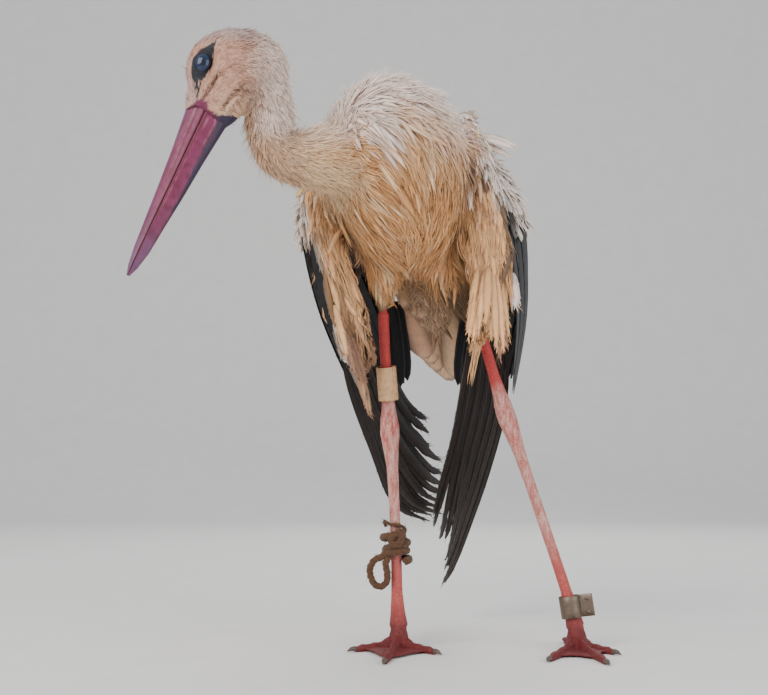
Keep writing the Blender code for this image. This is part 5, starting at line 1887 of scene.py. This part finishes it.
def bill_rings(above):
    """One half of the bill: a ridge, sides that hollow towards the cutting edge, and a flat inner face."""
    steps, corners = 130, 41
    along = unit(BILL_TIP - BILL_BASE)
    aside = square_to(along, FORWARD)
    lift = unit(np.cross(along, aside)) * (1 if above else -1)
    if above and lift[0] > 0:
        lift = -lift
    if not above and lift[0] < 0:
        lift = -lift
    table = np.array(BILL_SECTIONS)
    shares = np.concatenate([[-0.075], np.linspace(0, 1, steps) ** 0.92])
    rings, notes = [], []
    for share in shares:
        at = np.clip(share, 0, 1)
        half, over, under = (np.interp(at, table[:, 0], table[:, n]) for n in (1, 2, 3))
        tall = over if above else under + 0.0055 * float(smooth(0.03, -0.075, share))
        middle = BILL_BASE + (BILL_TIP - BILL_BASE) * share - ORIGIN
        turn = np.linspace(0, math.pi, corners)
        cos, sin = np.cos(turn), np.sin(turn)
        pinch = 1 - 0.10 * np.sin(turn * 2) ** 2 * (1 - at * 0.5)
        width = half * cos * (0.94 if above else 0.90) * pinch
        height = tall * sin ** (1.15 if above else 0.92)
        if above:
            slot = np.exp(-(((at - 0.205) / 0.055) ** 2)) * np.exp(-(((sin - 0.62) / 0.10) ** 2))
            width = width * (1 - 0.16 * slot)
            groove = np.exp(-(((sin - 0.46) / 0.09) ** 2)) * smooth(0.75, 0.15, at)
            width = width * (1 - 0.07 * groove)
        gape = 0.00025
        row = middle + np.outer(width, aside) + np.outer(height + gape, lift)
        rings.append(row)
        notes.append(np.stack([np.full(corners, at), sin], axis=1))
    return np.array(rings), np.array(notes)


def bill_look(name, parts):
    look = Look(name, 0.42, Specular_IOR_Level=0.30, Coat_Weight=0.05, Coat_Roughness=0.35)
    tint = look.attribute("tint", "Color")
    grain_at = look.stretched((900.0, 900.0, 60.0), rotation=(0.0, math.radians(-23), 0.0))
    grain = look.noise(1.0, 6.0, grain_at, 0.6)
    patches = look.noise(70, 4.0)
    toned = look.blend(1.0, tint, look.ramp(grain, (0.25, 0.74), (0.55, 1.0), (0.8, 1.12)), "MULTIPLY")
    toned = look.blend(look.ramp(patches, (0.45, 0.0), (0.72, 0.5)), toned, tuple(parts.bill_deep))
    scuff = look.ramp(look.noise(1.0, 3.0, grain_at, 0.8), (0.68, 0.0), (0.78, 0.28))
    look.colour(look.blend(scuff, toned, tuple(parts.bill_line)))
    look.rough(look.ramp(grain, (0.3, 0.52), (0.7, 0.34)))
    look.bump(grain, 0.0003, 0.5)
    return look.material


class STORK_OT_bill(bpy.types.Operator):
    """Makes the upper and lower halves of the bill"""

    bl_idname = "stork.bill"
    bl_label = "Bill"

    def execute(self, context):
        parts = context.scene.stork_bare
        look = bill_look("bill horn grain", parts)
        for above, name in ((True, "bill_upper"), (False, "bill_lower")):
            rings, notes = bill_rings(above)
            made = put_closed(name + "_horn", rings[None], look)
            at, sin = notes.reshape(-1, 2).T
            points = points_of(made.data)
            set_tint(made.data, self.markings(points, at, sin, above, parts))
            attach(made, "root")
            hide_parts(name)
        return {"FINISHED"}

    def markings(self, points, at, sin, above, parts):
        """Red horn, darker cutting line, worn pale lines, grey ridge and tip, painted shade under the lower
        horn.

        at is the share of the bill's length, and sin how high a point is over the cutting edge.
        """
        names = ("bill", "bill_deep", "bill_grey", "bill_blue", "bill_line")
        red, deep, grey, blue, pale = (np.array(getattr(parts, name)) for name in names)
        cloud = wave_noise(points, 160.0, 2.0)
        broken = smooth(-0.70, 0.30, wave_noise(points, 150.0, 6.0))
        broken = broken * smooth(-0.9, -0.1, wave_noise(points, 520.0, 3.0))
        sin = sin + 0.020 * wave_noise(points, 210.0, 13.0)
        tint = mix(red, deep, smooth(-0.1, 0.5, cloud) * 0.5)
        tint = mix(tint, grey, smooth(0.50, 1.0, at + 0.06 * cloud) * 0.62)
        tint = mix(tint, deep, smooth(0.17, 0.05, sin) * 0.85)
        if above:
            line = smooth(0.050, 0.010, np.abs(sin - 0.56 + 0.25 * at))
            line = line * smooth(0.03, 0.06, at) * smooth(0.42, 0.20, at)
            tint = mix(tint, pale, line * broken * 0.62)
            tint = mix(tint, grey, smooth(0.80, 0.95, sin + 0.05 * cloud) * 0.75)
            return mix(tint, blue, smooth(0.10, 0.0, at) * smooth(0.75, 0.95, sin) * 0.7)
        # the lower horn's edge is a pale arch at its base, which runs out along both sides
        arch = np.interp(at, (0.040, 0.050, 0.075, 0.12, 0.6), (0.40, 0.31, 0.24, 0.20, 0.17))
        top = np.interp(at, (0.040, 0.050, 0.075, 0.12, 0.6), (0.42, 0.50, 0.57, 0.60, 0.62))
        line = smooth(0.045, 0.010, np.abs(sin - arch)) * smooth(0.72, 0.45, at)
        line = np.maximum(line, smooth(0.045, 0.010, np.abs(sin - top)) * smooth(0.26, 0.14, at))
        rim = smooth(0.006, 0.002, np.abs(at - 0.043)) * smooth(0.60, 0.50, np.abs(sin - 0.45) * 4)
        line = np.maximum(line, rim) * np.maximum(broken, smooth(0.10, 0.05, at))
        tint = mix(tint, pale, line * smooth(0.034, 0.042, at) * 0.66)
        tint = mix(tint, deep, smooth(0.045, 0.030, at) * 0.7)
        # painted shade: dark blue-grey over the lower horn's underside, broadest near its base
        strip = np.interp(at, (0.0, 0.25, 0.60, 0.75), (0.62, 0.70, 0.90, 1.05))
        return mix(tint, blue, smooth(-0.05, 0.06, sin - strip + 0.04 * cloud) * 0.92)


class STORK_OT_eyes(bpy.types.Operator):
    """Makes the two glossy eyes"""

    bl_idname = "stork.eyes"
    bl_label = "Eyes"

    def execute(self, context):
        parts = context.scene.stork_bare
        rows, columns = 34, 48
        for sign, name in ((1, "eye_left"), (-1, "eye_right")):
            look = self.look(name, parts, eye_centre(sign))
            angle = np.linspace(0.02, math.pi - 0.02, rows)
            around = np.linspace(0, 2 * math.pi, columns, endpoint=False)
            out = np.array((0.0, -sign, 0.0))
            broad = np.array((math.cos(EYE_LEAN), 0.0, math.sin(EYE_LEAN))) * EYE_OVAL[0]
            tall = np.array((-math.sin(EYE_LEAN), 0.0, math.cos(EYE_LEAN))) * EYE_OVAL[1]
            turned = np.cos(around)[None, :, None] * broad + np.sin(around)[None, :, None] * tall
            rings = eye_centre(sign) + (np.cos(angle) * EYE_RADIUS)[:, None, None] * out
            rings = rings + np.sin(angle)[:, None, None] * turned
            made = put_closed(name + "_ball", rings[None], look)
            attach(made, "root")
            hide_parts(name)
        return {"FINISHED"}

    def look(self, name, parts, centre):
        look = Look(name + " wet", 0.22, Specular_IOR_Level=0.30, Coat_Weight=0.45, Coat_Roughness=0.07)
        offset = look.add("VectorMath", {0: look.place(), 1: tuple(centre)}, operation="SUBTRACT").outputs[0]
        flat = look.add("VectorMath", {0: offset, 1: (1.0, 0.0, 0.8)}, operation="MULTIPLY").outputs[0]
        radius = look.add("VectorMath", {0: flat}, operation="LENGTH").outputs["Value"]
        share = look.math("DIVIDE", radius, EYE_RADIUS)
        rays = look.noise(900, 4.0, flat)
        # The iris ring's dark blue is partly a painted blue reflection.
        iris_and_blue_reflection = tuple(parts.eye)
        dark = shade_of(iris_and_blue_reflection, 0.45)
        rim = srgb(9, 11, 17)
        ringed = look.ramp(share, (0.0, dark), (0.30, dark), (0.46, iris_and_blue_reflection), (0.66, iris_and_blue_reflection), (0.80, rim))
        look.colour(look.blend(0.5, ringed, look.ramp(rays, (0.3, 0.7), (0.7, 1.15)), "MULTIPLY"))
        return look.material


def leg_look(parts):
    """Scaly leg skin: small plates with dark seams, and blotches of pale lime on the shank."""
    look = Look("leg scutes", 0.55, Specular_IOR_Level=0.4)
    tint = look.attribute("tint", "Color")
    lime = look.attribute("lime")
    stretched = look.stretched((1.0, 1.0, 0.62))
    plates = look.add("TexVoronoi", {"Scale": 380.0, "Vector": stretched}, feature="DISTANCE_TO_EDGE")
    plates = plates.outputs["Distance"]
    cells = look.add("TexVoronoi", {"Scale": 380.0, "Vector": stretched}).outputs["Color"]
    seam = look.ramp(plates, (0.0, 1.0), (0.10, 0.0))
    blotch = look.ramp(look.noise(1.0, 5.0, look.stretched((330.0, 330.0, 85.0))), (0.40, 0.0), (0.66, 1.0))
    cell_tone = look.ramp(cells, (0.0, 0.84), (1.0, 1.10))
    toned = look.blend(1.0, tint, cell_tone, "MULTIPLY")
    limed = look.math("MULTIPLY", look.math("MULTIPLY", blotch, lime), 0.62)
    toned = look.blend(limed, toned, tuple(parts.leg_lime))
    dark = look.math("MULTIPLY", seam, 0.35)
    look.colour(look.blend(dark, toned, srgb(116, 50, 46)))
    height = look.ramp(plates, (0.0, 0.0), (0.22, 1.0))
    low = look.bump(height, 0.0006, 0.7)
    look.bump(look.noise(1400, 3.0), 0.0002, 0.35, under=low)
    return look.material


class STORK_OT_legs(bpy.types.Operator):
    """Makes each leg from the thigh feathers to the toes as one scaly skin"""

    bl_idname = "stork.legs"
    bl_label = "Legs"

    def execute(self, context):
        parts = context.scene.stork_bare
        look = leg_look(parts)
        for side_name in WINGS:
            nodes = tuple(f"{part}_{side_name}" for part in ("tibia", "shank", "foot"))
            extra = self.joints_and_webs(side_name)
            leg, _, _ = fused(f"leg_{side_name}", nodes, LEG_VOXEL, 0.0004, look, extra)
            mesh = leg.data
            points = relax(points_of(mesh), neighbour_mean(mesh), 8)
            place_points(mesh, points)
            normals = points_of(mesh, "normal")
            points = points - normals * 0.0004
            z = points[:, 2].copy()
            near_hock = np.exp(-(((z - HOCK_HEIGHT[side_name]) / 0.020) ** 2))
            knob = wave_noise(points, 170.0, 4.0)
            points = points + normals * (0.0006 * knob * near_hock)[:, None]
            points = self.shape_toes(points, normals, z, side_name)
            points[:, 2] = np.maximum(points[:, 2], 0.0)
            points[z < 0.0009, 2] = 0.0
            place_points(mesh, points)
            self.paint(mesh, points, z, near_hock, HOCK_HEIGHT[side_name], parts)
            mesh.materials.clear()
            mesh.materials.append(look)
            mesh.shade_smooth()
            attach(leg, "root")
            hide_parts(*nodes)
        return {"FINISHED"}

    def shape_toes(self, points, normals, z, side_name):
        """Slims each toe and gives it the swellings of its joints and the ridges of its plates."""
        (fx, fy), toes = FEET[side_name]
        spot = points + ORIGIN
        for degrees, length in toes:
            way = np.array((math.sin(math.radians(degrees)), -math.cos(math.radians(degrees))))
            run = (spot[:, 0] - fx) * way[0] + (spot[:, 1] - fy) * way[1]
            aside = (spot[:, 0] - fx) * way[1] - (spot[:, 1] - fy) * way[0]
            gap = np.abs(aside)
            on_toe = (run > 0.010) * (gap < 0.0075) * (z < 0.014)
            slim = 0.26 * smooth(0.008, 0.020, run) * (run < length + 0.006) * smooth(0.0075, 0.0066, gap)
            slim = slim * smooth(0.020, 0.014, z)
            points[:, 0] -= aside * way[1] * slim
            points[:, 1] += aside * way[0] * slim
            points[:, 2] -= np.maximum(points[:, 2] - 0.002, 0) * slim * 0.7
            plates = np.cos(run / 0.0031 * 2 * math.pi)
            joint = np.cos((run / length - 0.30) * 2 * math.pi / 0.27)
            swell = (0.00022 * plates + 0.00045 * np.maximum(joint, -0.4)) * on_toe
            points = points + normals * (swell * (normals[:, 2] > -0.3))[:, None]
        return points

    def paint(self, mesh, points, z, near_hock, hock, parts):
        """Red above the hock, pale and limed down the shank, and darker red with painted shade on the foot.
        """
        red, pink, foot = (np.array(getattr(parts, n)) for n in ("leg_red", "leg_pink", "foot_red"))
        cloud = wave_noise(points, 120.0, 8.0)
        upper = smooth(hock + 0.016, hock + 0.040, z + 0.006 * cloud)
        tint = mix(pink, red, upper)
        streaked = wave_noise(points * (1.0, 1.0, 0.35), 230.0, 8.5)
        tint = mix(tint, red, near_hock * smooth(-0.20, 0.25, streaked) * 0.85)
        tint = mix(tint, mix(pink, red, 0.65), smooth(0.125, 0.065, z + 0.012 * cloud))
        # painted shade: the feet near the floor turn darker red
        tint = mix(tint, foot, smooth(0.052, 0.014, z + 0.008 * cloud))
        set_tint(mesh, tint)
        limed = (1 - upper) * smooth(0.075, 0.130, z + 0.015 * cloud) + near_hock * 0.25
        set_number(mesh, "lime", np.clip(limed, 0, 1))

    def joints_and_webs(self, side_name):
        """Balls that round off the ankle, and the short webs between the front toes."""
        (fx, fy), toes = FEET[side_name]
        hub = np.array((fx, fy, 0.0)) - ORIGIN
        ankle = np.array(LEG_LINES[side_name][-1]) - ORIGIN
        extra = [ball(hub + (0, 0, 0.0125), 0.0098), ball((hub + ankle) / 2 + (0, 0, 0.008), 0.0086)]
        extra.append(ball(ankle + (0, 0, 0.002), 0.0080))
        # the leg's top goes on up into the feathers of the thigh
        top, below = (np.array(LEG_LINES[side_name][n]) - ORIGIN for n in (0, 1))
        extra += [ball(top + (below - top) * share, 0.0046) for share in np.linspace(-0.15, 0.35, 12)]
        front = sorted(toes[:3])
        steps = 8
        for (first, reach_a), (second, reach_b) in zip(front, front[1:]):
            rim = []
            for k in range(steps + 1):
                f = k / steps
                angle = math.radians(first + (second - first) * f)
                reach = (reach_a * (1 - f) + reach_b * f) * (0.80 - 0.17 * math.sin(math.pi * f))
                rim.append(hub + np.array((math.sin(angle), -math.cos(angle), 0)) * reach)
            points, faces = [], []
            for height in (0.0012, 0.0040):
                points += [Vector(hub + (0, 0, height))] + [Vector(place + (0, 0, height)) for place in rim]
            size = steps + 2
            for k in range(1, steps + 1):
                faces += [[0, k + 1, k], [size, size + k, size + k + 1], [k, k + 1, size + k + 1, size + k]]
            faces += [[0, 1, size + 1, size], [steps + 1, 0, size, size + steps + 1]]
            extra.append((points, faces))
        return extra


class STORK_OT_claws(bpy.types.Operator):
    """Makes the blunt claws at the toe tips"""

    bl_idname = "stork.claws"
    bl_label = "Claws"

    def execute(self, context):
        parts = context.scene.stork_bare
        look = Look("claw horn", 0.45, Specular_IOR_Level=0.45)
        streaks = look.noise(1200, 5.0)
        colour = tuple(parts.claw)
        dark, pale = shade_of(colour, 0.55), shade_of(colour, 1.3)
        look.colour(look.ramp(streaks, (0.3, dark), (0.7, pale)))
        look.bump(streaks, 0.0002, 0.4)
        stations, sides = 12, 14
        share = np.linspace(0, 1, stations)
        for side_name in WINGS:
            (fx, fy), toes = FEET[side_name]
            bodies = []
            for degrees, length in toes:
                way = np.array((math.sin(math.radians(degrees)), -math.cos(math.radians(degrees)), 0))
                base = np.array((fx, fy, 0)) - ORIGIN + way * (length - 0.0012)
                height = np.interp(share, (0, 0.5, 1), (0.0033, 0.0034, 0.0015))
                line = base + way * (share[:, None] * 0.0098) + np.array((0, 0, 1.0)) * height[:, None]
                radii = np.interp(share, (0, 0.15, 0.6, 1), (0.0022, 0.0026, 0.0019, 0.0005))
                bodies.append(tube(line, radii, sides))
            made = put_closed(f"claws_{side_name}", np.array(bodies), look.material)
            points = points_of(made.data)
            points[:, 2] = np.maximum(points[:, 2], 0.0002)
            place_points(made.data, points)
            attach(made, "root")
            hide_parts(*[f"claw_{side_name}_{n}" for n in range(1, 5)])
        return {"FINISHED"}


def on_leg(side_name, height):
    """The point of a leg's middle line at a height, and the line's direction up."""
    line = LEG_LINES[side_name]
    low, high = 0.0, 1.0
    for _ in range(30):
        middle = (low + high) / 2
        if curve_at(line, middle)[2] > height:
            low = middle
        else:
            high = middle
    here = curve_at(line, low)
    return here - ORIGIN, unit(curve_at(line, low - 0.04) - here)


def leg_axes(side_name, height):
    centre, upward = on_leg(side_name, height)
    front = square_to(upward, FORWARD)
    return centre, upward, front, np.cross(upward, front)


def strip_heights(half, bevel):
    """The levels of a strip with softened edges, each with its share of the strip's thickness."""
    lower = [(-half, 0.5), (-half + bevel, 1.0), (-half * 0.4, 1.0)]
    return lower + [(-height, share) for height, share in reversed(lower)]


def strip_solid(name, outline, thickness, heights, axes, look):
    """A strip that stands along the leg: a line of (right, front) places, drawn up through the heights."""
    centre, upward, front, right = axes
    ahead = unit(np.gradient(outline, axis=0))
    out = np.stack([ahead[:, 1], -ahead[:, 0]], axis=1)
    rings = []
    for height, draw in heights:
        for side in (outline + out * (thickness / 2 * draw), outline - out * (thickness / 2 * draw)):
            rings.append(centre + np.outer(side[:, 0], right) + np.outer(side[:, 1], front) + upward * height)
    outer, inner = np.array(rings[0::2]), np.array(rings[1::2])
    loop = np.concatenate([outer, inner[::-1]])  # round the section: up the outside, down the inside
    rows = np.transpose(loop, (1, 0, 2))  # stations along the strip, corners round its section
    return put_closed(name, rows[None], look)


def laid_rope(centres, radius):
    """Rings of a rope of three strands that wind round each other."""
    sides = 18
    run = np.concatenate([[0], np.cumsum(np.linalg.norm(np.diff(centres, axis=0), axis=1))])
    around = 2 * math.pi * np.arange(sides) / sides
    phase = run[:, None] / ROPE_LAY * 2 * math.pi
    lobes = np.abs(np.cos(1.5 * (around[None, :] - phase)))
    rough = 1 + 0.045 * np.sin(run[:, None] * 2100 + around[None, :] * 3)
    radii = radius * (0.64 + 0.36 * lobes**0.55) * rough
    return tube(centres, radii, sides)


class STORK_OT_worn(bpy.types.Operator):
    """Makes the wide band, the metal ring with its rivets and the knotted rope"""

    bl_idname = "stork.worn"
    bl_label = "Band, ring and rope"

    def execute(self, context):
        worn = context.scene.stork_worn
        self.band(worn)
        self.ring(worn)
        self.rope(context, worn)
        return {"FINISHED"}

    def band(self, worn):
        look = Look("dusty plastic band", 0.6, Specular_IOR_Level=0.35)
        colour = tuple(worn.band)
        dirt = look.noise(240, 6.0)
        dark, pale = shade_of(colour, 0.62), shade_of(colour, 1.12)
        toned = look.ramp(dirt, (0.28, dark), (0.5, colour), (0.8, pale))
        specks = look.ramp(look.noise(1300, 2.0), (0.66, 0.0), (0.72, 0.5))
        look.colour(look.blend(specks, toned, srgb(120, 92, 64)))
        look.bump(dirt, 0.0006, 0.5)
        axes = leg_axes("right", BAND_LEVEL)
        turns = np.linspace(-0.6, 2 * math.pi * 1.98, 110)
        reach = np.interp(turns, (turns[0], turns[-1]), (0.0086, worn.band_radius - 0.0005))
        reach = reach + 0.00018 * np.sin(turns * 5)
        outline = np.stack([np.cos(turns + 0.9) * reach, np.sin(turns + 0.9) * reach], axis=1)
        heights = strip_heights(worn.band_height / 2, 0.0005)
        made = strip_solid("band_wrap", outline, 0.0009, heights, axes, look.material)
        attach(made, "root")
        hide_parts("band_right_tibia")

    def ring(self, worn):
        look = Look("dull ring metal", 0.42, Metallic=0.85)
        scratches = look.noise(1.0, 3.0, look.stretched((300.0, 300.0, 2400.0)))
        grime = look.noise(190, 4.0)
        colour = tuple(worn.ring)
        metal = look.ramp(scratches, (0.3, shade_of(colour, 0.72)), (0.7, colour))
        look.colour(look.blend(look.ramp(grime, (0.50, 0.0), (0.75, 0.55)), metal, srgb(104, 88, 74)))
        look.rough(look.ramp(grime, (0.35, 0.40), (0.7, 0.65)))
        look.bump(scratches, 0.0002, 0.4)
        centre, upward, front, _ = leg_axes("left", RING_LEVEL)
        upward = unit(upward + UP * 0.9)
        front = square_to(upward, front)
        right = np.cross(upward, front)
        axes = (centre, upward, front, right)
        lip_way = np.array((1.0, -0.25, 0.0))
        lip_angle = math.atan2(lip_way @ front, lip_way @ right)
        radius = worn.ring_radius - 0.0006
        open_half = 0.075
        around = np.linspace(lip_angle + open_half, lip_angle + 2 * math.pi - open_half, 70)
        arc = np.stack([np.cos(around), np.sin(around)], axis=1) * radius
        lip = np.array((math.cos(lip_angle), math.sin(lip_angle)))
        aside = np.array((-lip[1], lip[0]))
        reach = np.linspace(0.0012, 0.0128, 8)[:, None]
        first = lip * (radius + reach) + aside * 0.00075
        last = lip * (radius + reach) - aside * 0.00075
        outline = np.concatenate([first[::-1], arc, last])
        heights = strip_heights(worn.ring_height / 2, 0.0003)
        made = strip_solid("ring_sleeve", outline, 0.0011, heights, axes, look.material)
        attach(made, "root")
        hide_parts("ring_left_shank")
        out = lip[0] * right + lip[1] * front
        across = aside[0] * right + aside[1] * front
        bodies = []
        for height in (-0.0066, 0.0066):
            for side in (1, -1):
                base = centre + out * (radius + 0.0072) + upward * height + across * (side * 0.0011)
                line = base + across * side * np.linspace(0, 0.0012, 7)[:, None]
                radii = 0.0021 * np.sqrt(np.clip(1 - np.linspace(0, 0.985, 7) ** 2.4, 0, 1))
                bodies.append(tube(line, radii, 18))
        rivets = put_closed("ring_rivets", np.array(bodies), look.material)
        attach(rivets, "root")

    def rope(self, context, worn):
        look = Look("jute rope", 0.9, Specular_IOR_Level=0.15, Sheen_Weight=0.2)
        colour = tuple(worn.rope)
        fibre = look.noise(1500, 4.0)
        broad = look.noise(220, 4.0)
        dark, pale = shade_of(colour, 0.45), shade_of(colour, 1.5)
        toned = look.ramp(fibre, (0.3, dark), (0.5, colour), (0.75, pale))
        look.colour(look.blend(look.ramp(broad, (0.45, 0.0), (0.7, 0.65)), toned, srgb(84, 62, 46)))
        look.bump(fibre, 0.0008, 0.8)
        centre, upward, front, right = leg_axes("right", ROPE_LEVEL)
        radius = worn.rope_radius

        def at(r, f, u):
            return centre + right * r + front * f + upward * u

        wrap = 0.0068 + 0.0046
        coil = []
        for a in np.linspace(0, 2 * math.pi * 3.0, 44):
            slip = 0.0016 * math.sin(a * 0.5 + 0.6)
            out = wrap + 0.0012 * math.sin(a * 0.37 + 1.0)
            height = 0.0088 - a / (2 * math.pi) * 0.0083 + slip
            coil.append(at(math.cos(a + 0.8) * out, math.sin(a + 0.8) * out, height))
        lines = [(curve_points(coil, 190), radius * 0.92)]
        knot = [
            at(0.0075, 0.0085, 0.010), at(0.0045, 0.0125, 0.0125), at(-0.0015, 0.0140, 0.0095),
            at(-0.0050, 0.0140, 0.0045), at(-0.0030, 0.0148, 0.0000), at(0.0030, 0.0148, 0.0010),
            at(0.0060, 0.0138, 0.0060), at(0.0040, 0.0130, 0.0110),
        ]
        lines.append((curve_points(knot, 80), radius * 0.78))
        bight = [
            at(-0.0085, 0.0075, -0.0095), at(-0.0150, 0.0090, -0.0120), at(-0.0225, 0.0085, -0.0150),
            at(-0.0268, 0.0060, -0.0225), at(-0.0262, 0.0045, -0.0310), at(-0.0225, 0.0050, -0.0385),
            at(-0.0160, 0.0060, -0.0405), at(-0.0105, 0.0080, -0.0355), at(-0.0100, 0.0095, -0.0270),
            at(-0.0110, 0.0100, -0.0190), at(-0.0085, 0.0090, -0.0125),
        ]
        lines.append((curve_points(bight, 120), radius * 0.82))
        thin = [
            at(0.0090, 0.0045, 0.0100), at(0.0095, 0.0015, 0.0150), at(0.0040, 0.0080, 0.0185),
            at(-0.0050, 0.0065, 0.0200), at(-0.0105, 0.0040, 0.0230), at(-0.0095, 0.0020, 0.0180),
        ]
        lines.append((curve_points(thin, 60), radius * 0.42))
        made = [
            put_closed(f"rope_run_{number}", laid_rope(line, thickness)[None], look.material)
            for number, (line, thickness) in enumerate(lines, 1)
        ]
        made.append(self.frays(context, lines, look.material))
        whole = self.merge("rope_wrap", made)
        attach(whole, "root")
        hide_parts("rope_right_shank")

    def frays(self, context, lines, look):
        """Short loose fibres that stand off the rope."""
        rng = rng_for(context, 40)
        bodies = []
        for line, thickness in lines:
            for _ in range(46 if len(line) > 100 else 26):
                k = rng.integers(2, len(line) - 3)
                ahead = unit(line[k + 1] - line[k])
                out = unit(np.cross(ahead, rng.normal(size=3)))
                start = line[k] + out * thickness * 0.7
                length = rng.uniform(0.003, 0.008)
                bend = unit(ahead + out * rng.uniform(0.2, 0.7)) * length
                share = np.linspace(0, 1, 5)[:, None]
                curl = np.cross(out, ahead) * rng.normal(0, 0.0012)
                points = start + bend * share + curl * share**2
                bodies.append(tube(points, np.interp(share[:, 0], (0, 1), (0.00028, 0.0001)), 4))
        return put_rings("rope_frays", np.array(bodies), look)

    def merge(self, name, shapes):
        build = bmesh.new()
        for shape in shapes:
            build.from_mesh(shape.data)
        mesh = bpy.data.meshes.new(name)
        build.to_mesh(mesh)
        build.free()
        mesh.shade_smooth()
        mesh.materials.append(shapes[0].data.materials[0])
        for shape in shapes:
            bpy.data.objects.remove(shape, do_unlink=True)
        return put_object(name, mesh)


# Name, place, breadth and colour of each soft light. Its power is a setting of the stage.
LIGHTS = (
    ("key", (-1.5, -1.9, 1.7), 1.9, (1.0, 0.98, 0.95)),
    ("fill", (1.9, -1.5, 0.9), 1.8, (0.95, 0.97, 1.0)),
    ("rim", (0.4, 1.9, 1.8), 1.4, (1.0, 0.98, 0.96)),
)
LIGHTS_AIM = Vector((0.0, 0.0, 0.32))
CAMERA_PLACE = (-0.004, -1.152, 0.175)
FLOOR_HALF = 7.0  # half the floor's breadth
FLOOR_FRONT, FLOOR_BACK = -5.0, 2.6  # where the level floor ends
FLOOR_BEND = 1.2  # radius of the floor's curve at the back
FLOOR_TOP = 6.0


class STORK_OT_stage(bpy.types.Operator):
    """Sets out the pale floor, the soft lights and the camera"""

    bl_idname = "stork.stage"
    bl_label = "Stage"

    def execute(self, context):
        stage = context.scene.stork_stage
        self.floor(context, stage)
        self.world(context)
        for name, place, size, colour in LIGHTS:
            self.light(name, place, size, getattr(stage, name + "_power"), colour)
        camera = bpy.data.cameras.new("camera")
        camera.lens = stage.lens
        camera.sensor_width = 36
        camera.clip_start = 0.01
        camera.clip_end = 50
        holder = put_object("camera", camera)
        holder.location = CAMERA_PLACE
        holder.rotation_euler = (math.radians(90) + stage.pitch, 0, 0)
        context.scene.camera = holder
        return {"FINISHED"}

    def floor(self, context, stage):
        """A broad floor that curves up far behind the bird."""
        look = Look("pale floor", 0.85, Specular_IOR_Level=0.2)
        grain = look.noise(14, 6.0)
        colour = tuple(stage.floor)
        look.colour(look.ramp(grain, (0.3, shade_of(colour, 0.96)), (0.7, colour)))
        rows = [(FLOOR_FRONT, 0.0), (FLOOR_BACK, 0.0)]
        for k in range(1, 13):
            angle = math.radians(90 * k / 12)
            rows.append((FLOOR_BACK + FLOOR_BEND * math.sin(angle), FLOOR_BEND * (1 - math.cos(angle))))
        rows.append((FLOOR_BACK + FLOOR_BEND, FLOOR_TOP))
        points = [(x, y, z) for y, z in rows for x in (-FLOOR_HALF, FLOOR_HALF)]
        faces = [(2 * k, 2 * k + 1, 2 * k + 3, 2 * k + 2) for k in range(len(rows) - 1)]
        put_mesh("floor", points, faces, look.material)

    def world(self, context):
        world = bpy.data.worlds.new("soft room")
        world.use_nodes = True
        background = world.node_tree.nodes["Background"]
        background.inputs["Color"].default_value = (*srgb(232, 238, 246), 1)
        background.inputs["Strength"].default_value = 0.80
        context.scene.world = world

    def light(self, name, place, size, power, colour):
        lamp = bpy.data.lights.new(name, "AREA")
        lamp.energy = power
        lamp.size = size
        lamp.color = colour
        holder = put_object(name, lamp)
        holder.location = place
        holder.rotation_euler = (LIGHTS_AIM - Vector(place)).to_track_quat("-Z", "Y").to_euler()


OPERATORS = (
    STORK_OT_skin, STORK_OT_head_feathers, STORK_OT_neck_feathers, STORK_OT_body_feathers, STORK_OT_coverts,
    STORK_OT_flight_feathers, STORK_OT_tail, STORK_OT_bill, STORK_OT_eyes, STORK_OT_legs, STORK_OT_claws,
    STORK_OT_worn, STORK_OT_stage,
)
SETTINGS = {
    "stork_plumage": StorkPlumage,
    "stork_bare": StorkBareParts,
    "stork_worn": StorkWorn,
    "stork_stage": StorkStage,
}


class STORK_PT_panel(bpy.types.Panel):
    """Lists the stork's settings and its building steps"""

    bl_idname = "STORK_PT_panel"
    bl_label = "White stork"
    bl_space_type = "VIEW_3D"
    bl_region_type = "UI"
    bl_category = "Stork"

    def draw(self, context):
        layout = self.layout
        for group in SETTINGS:
            settings = getattr(context.scene, group)
            box = layout.box()
            box.label(text=settings.bl_rna.name)
            for name in settings.__annotations__:
                box.prop(settings, name)
        for operator in OPERATORS:
            layout.operator(operator.bl_idname)


def register():
    for made in (*SETTINGS.values(), *OPERATORS, STORK_PT_panel):
        bpy.utils.register_class(made)
    for name, group in SETTINGS.items():
        setattr(bpy.types.Scene, name, bpy.props.PointerProperty(type=group))


def unregister():
    for name in SETTINGS:
        delattr(bpy.types.Scene, name)
    for made in (STORK_PT_panel, *reversed(OPERATORS), *SETTINGS.values()):
        bpy.utils.unregister_class(made)


def main():
    register()
    bpy.ops.stork.skin()
    bpy.ops.stork.head_feathers()
    bpy.ops.stork.neck_feathers()
    bpy.ops.stork.body_feathers()
    bpy.ops.stork.coverts()
    bpy.ops.stork.flight_feathers()
    bpy.ops.stork.tail()
    bpy.ops.stork.bill()
    bpy.ops.stork.eyes()
    bpy.ops.stork.legs()
    bpy.ops.stork.claws()
    bpy.ops.stork.worn()
    bpy.ops.stork.stage()


if __name__ == "__main__":
    main()
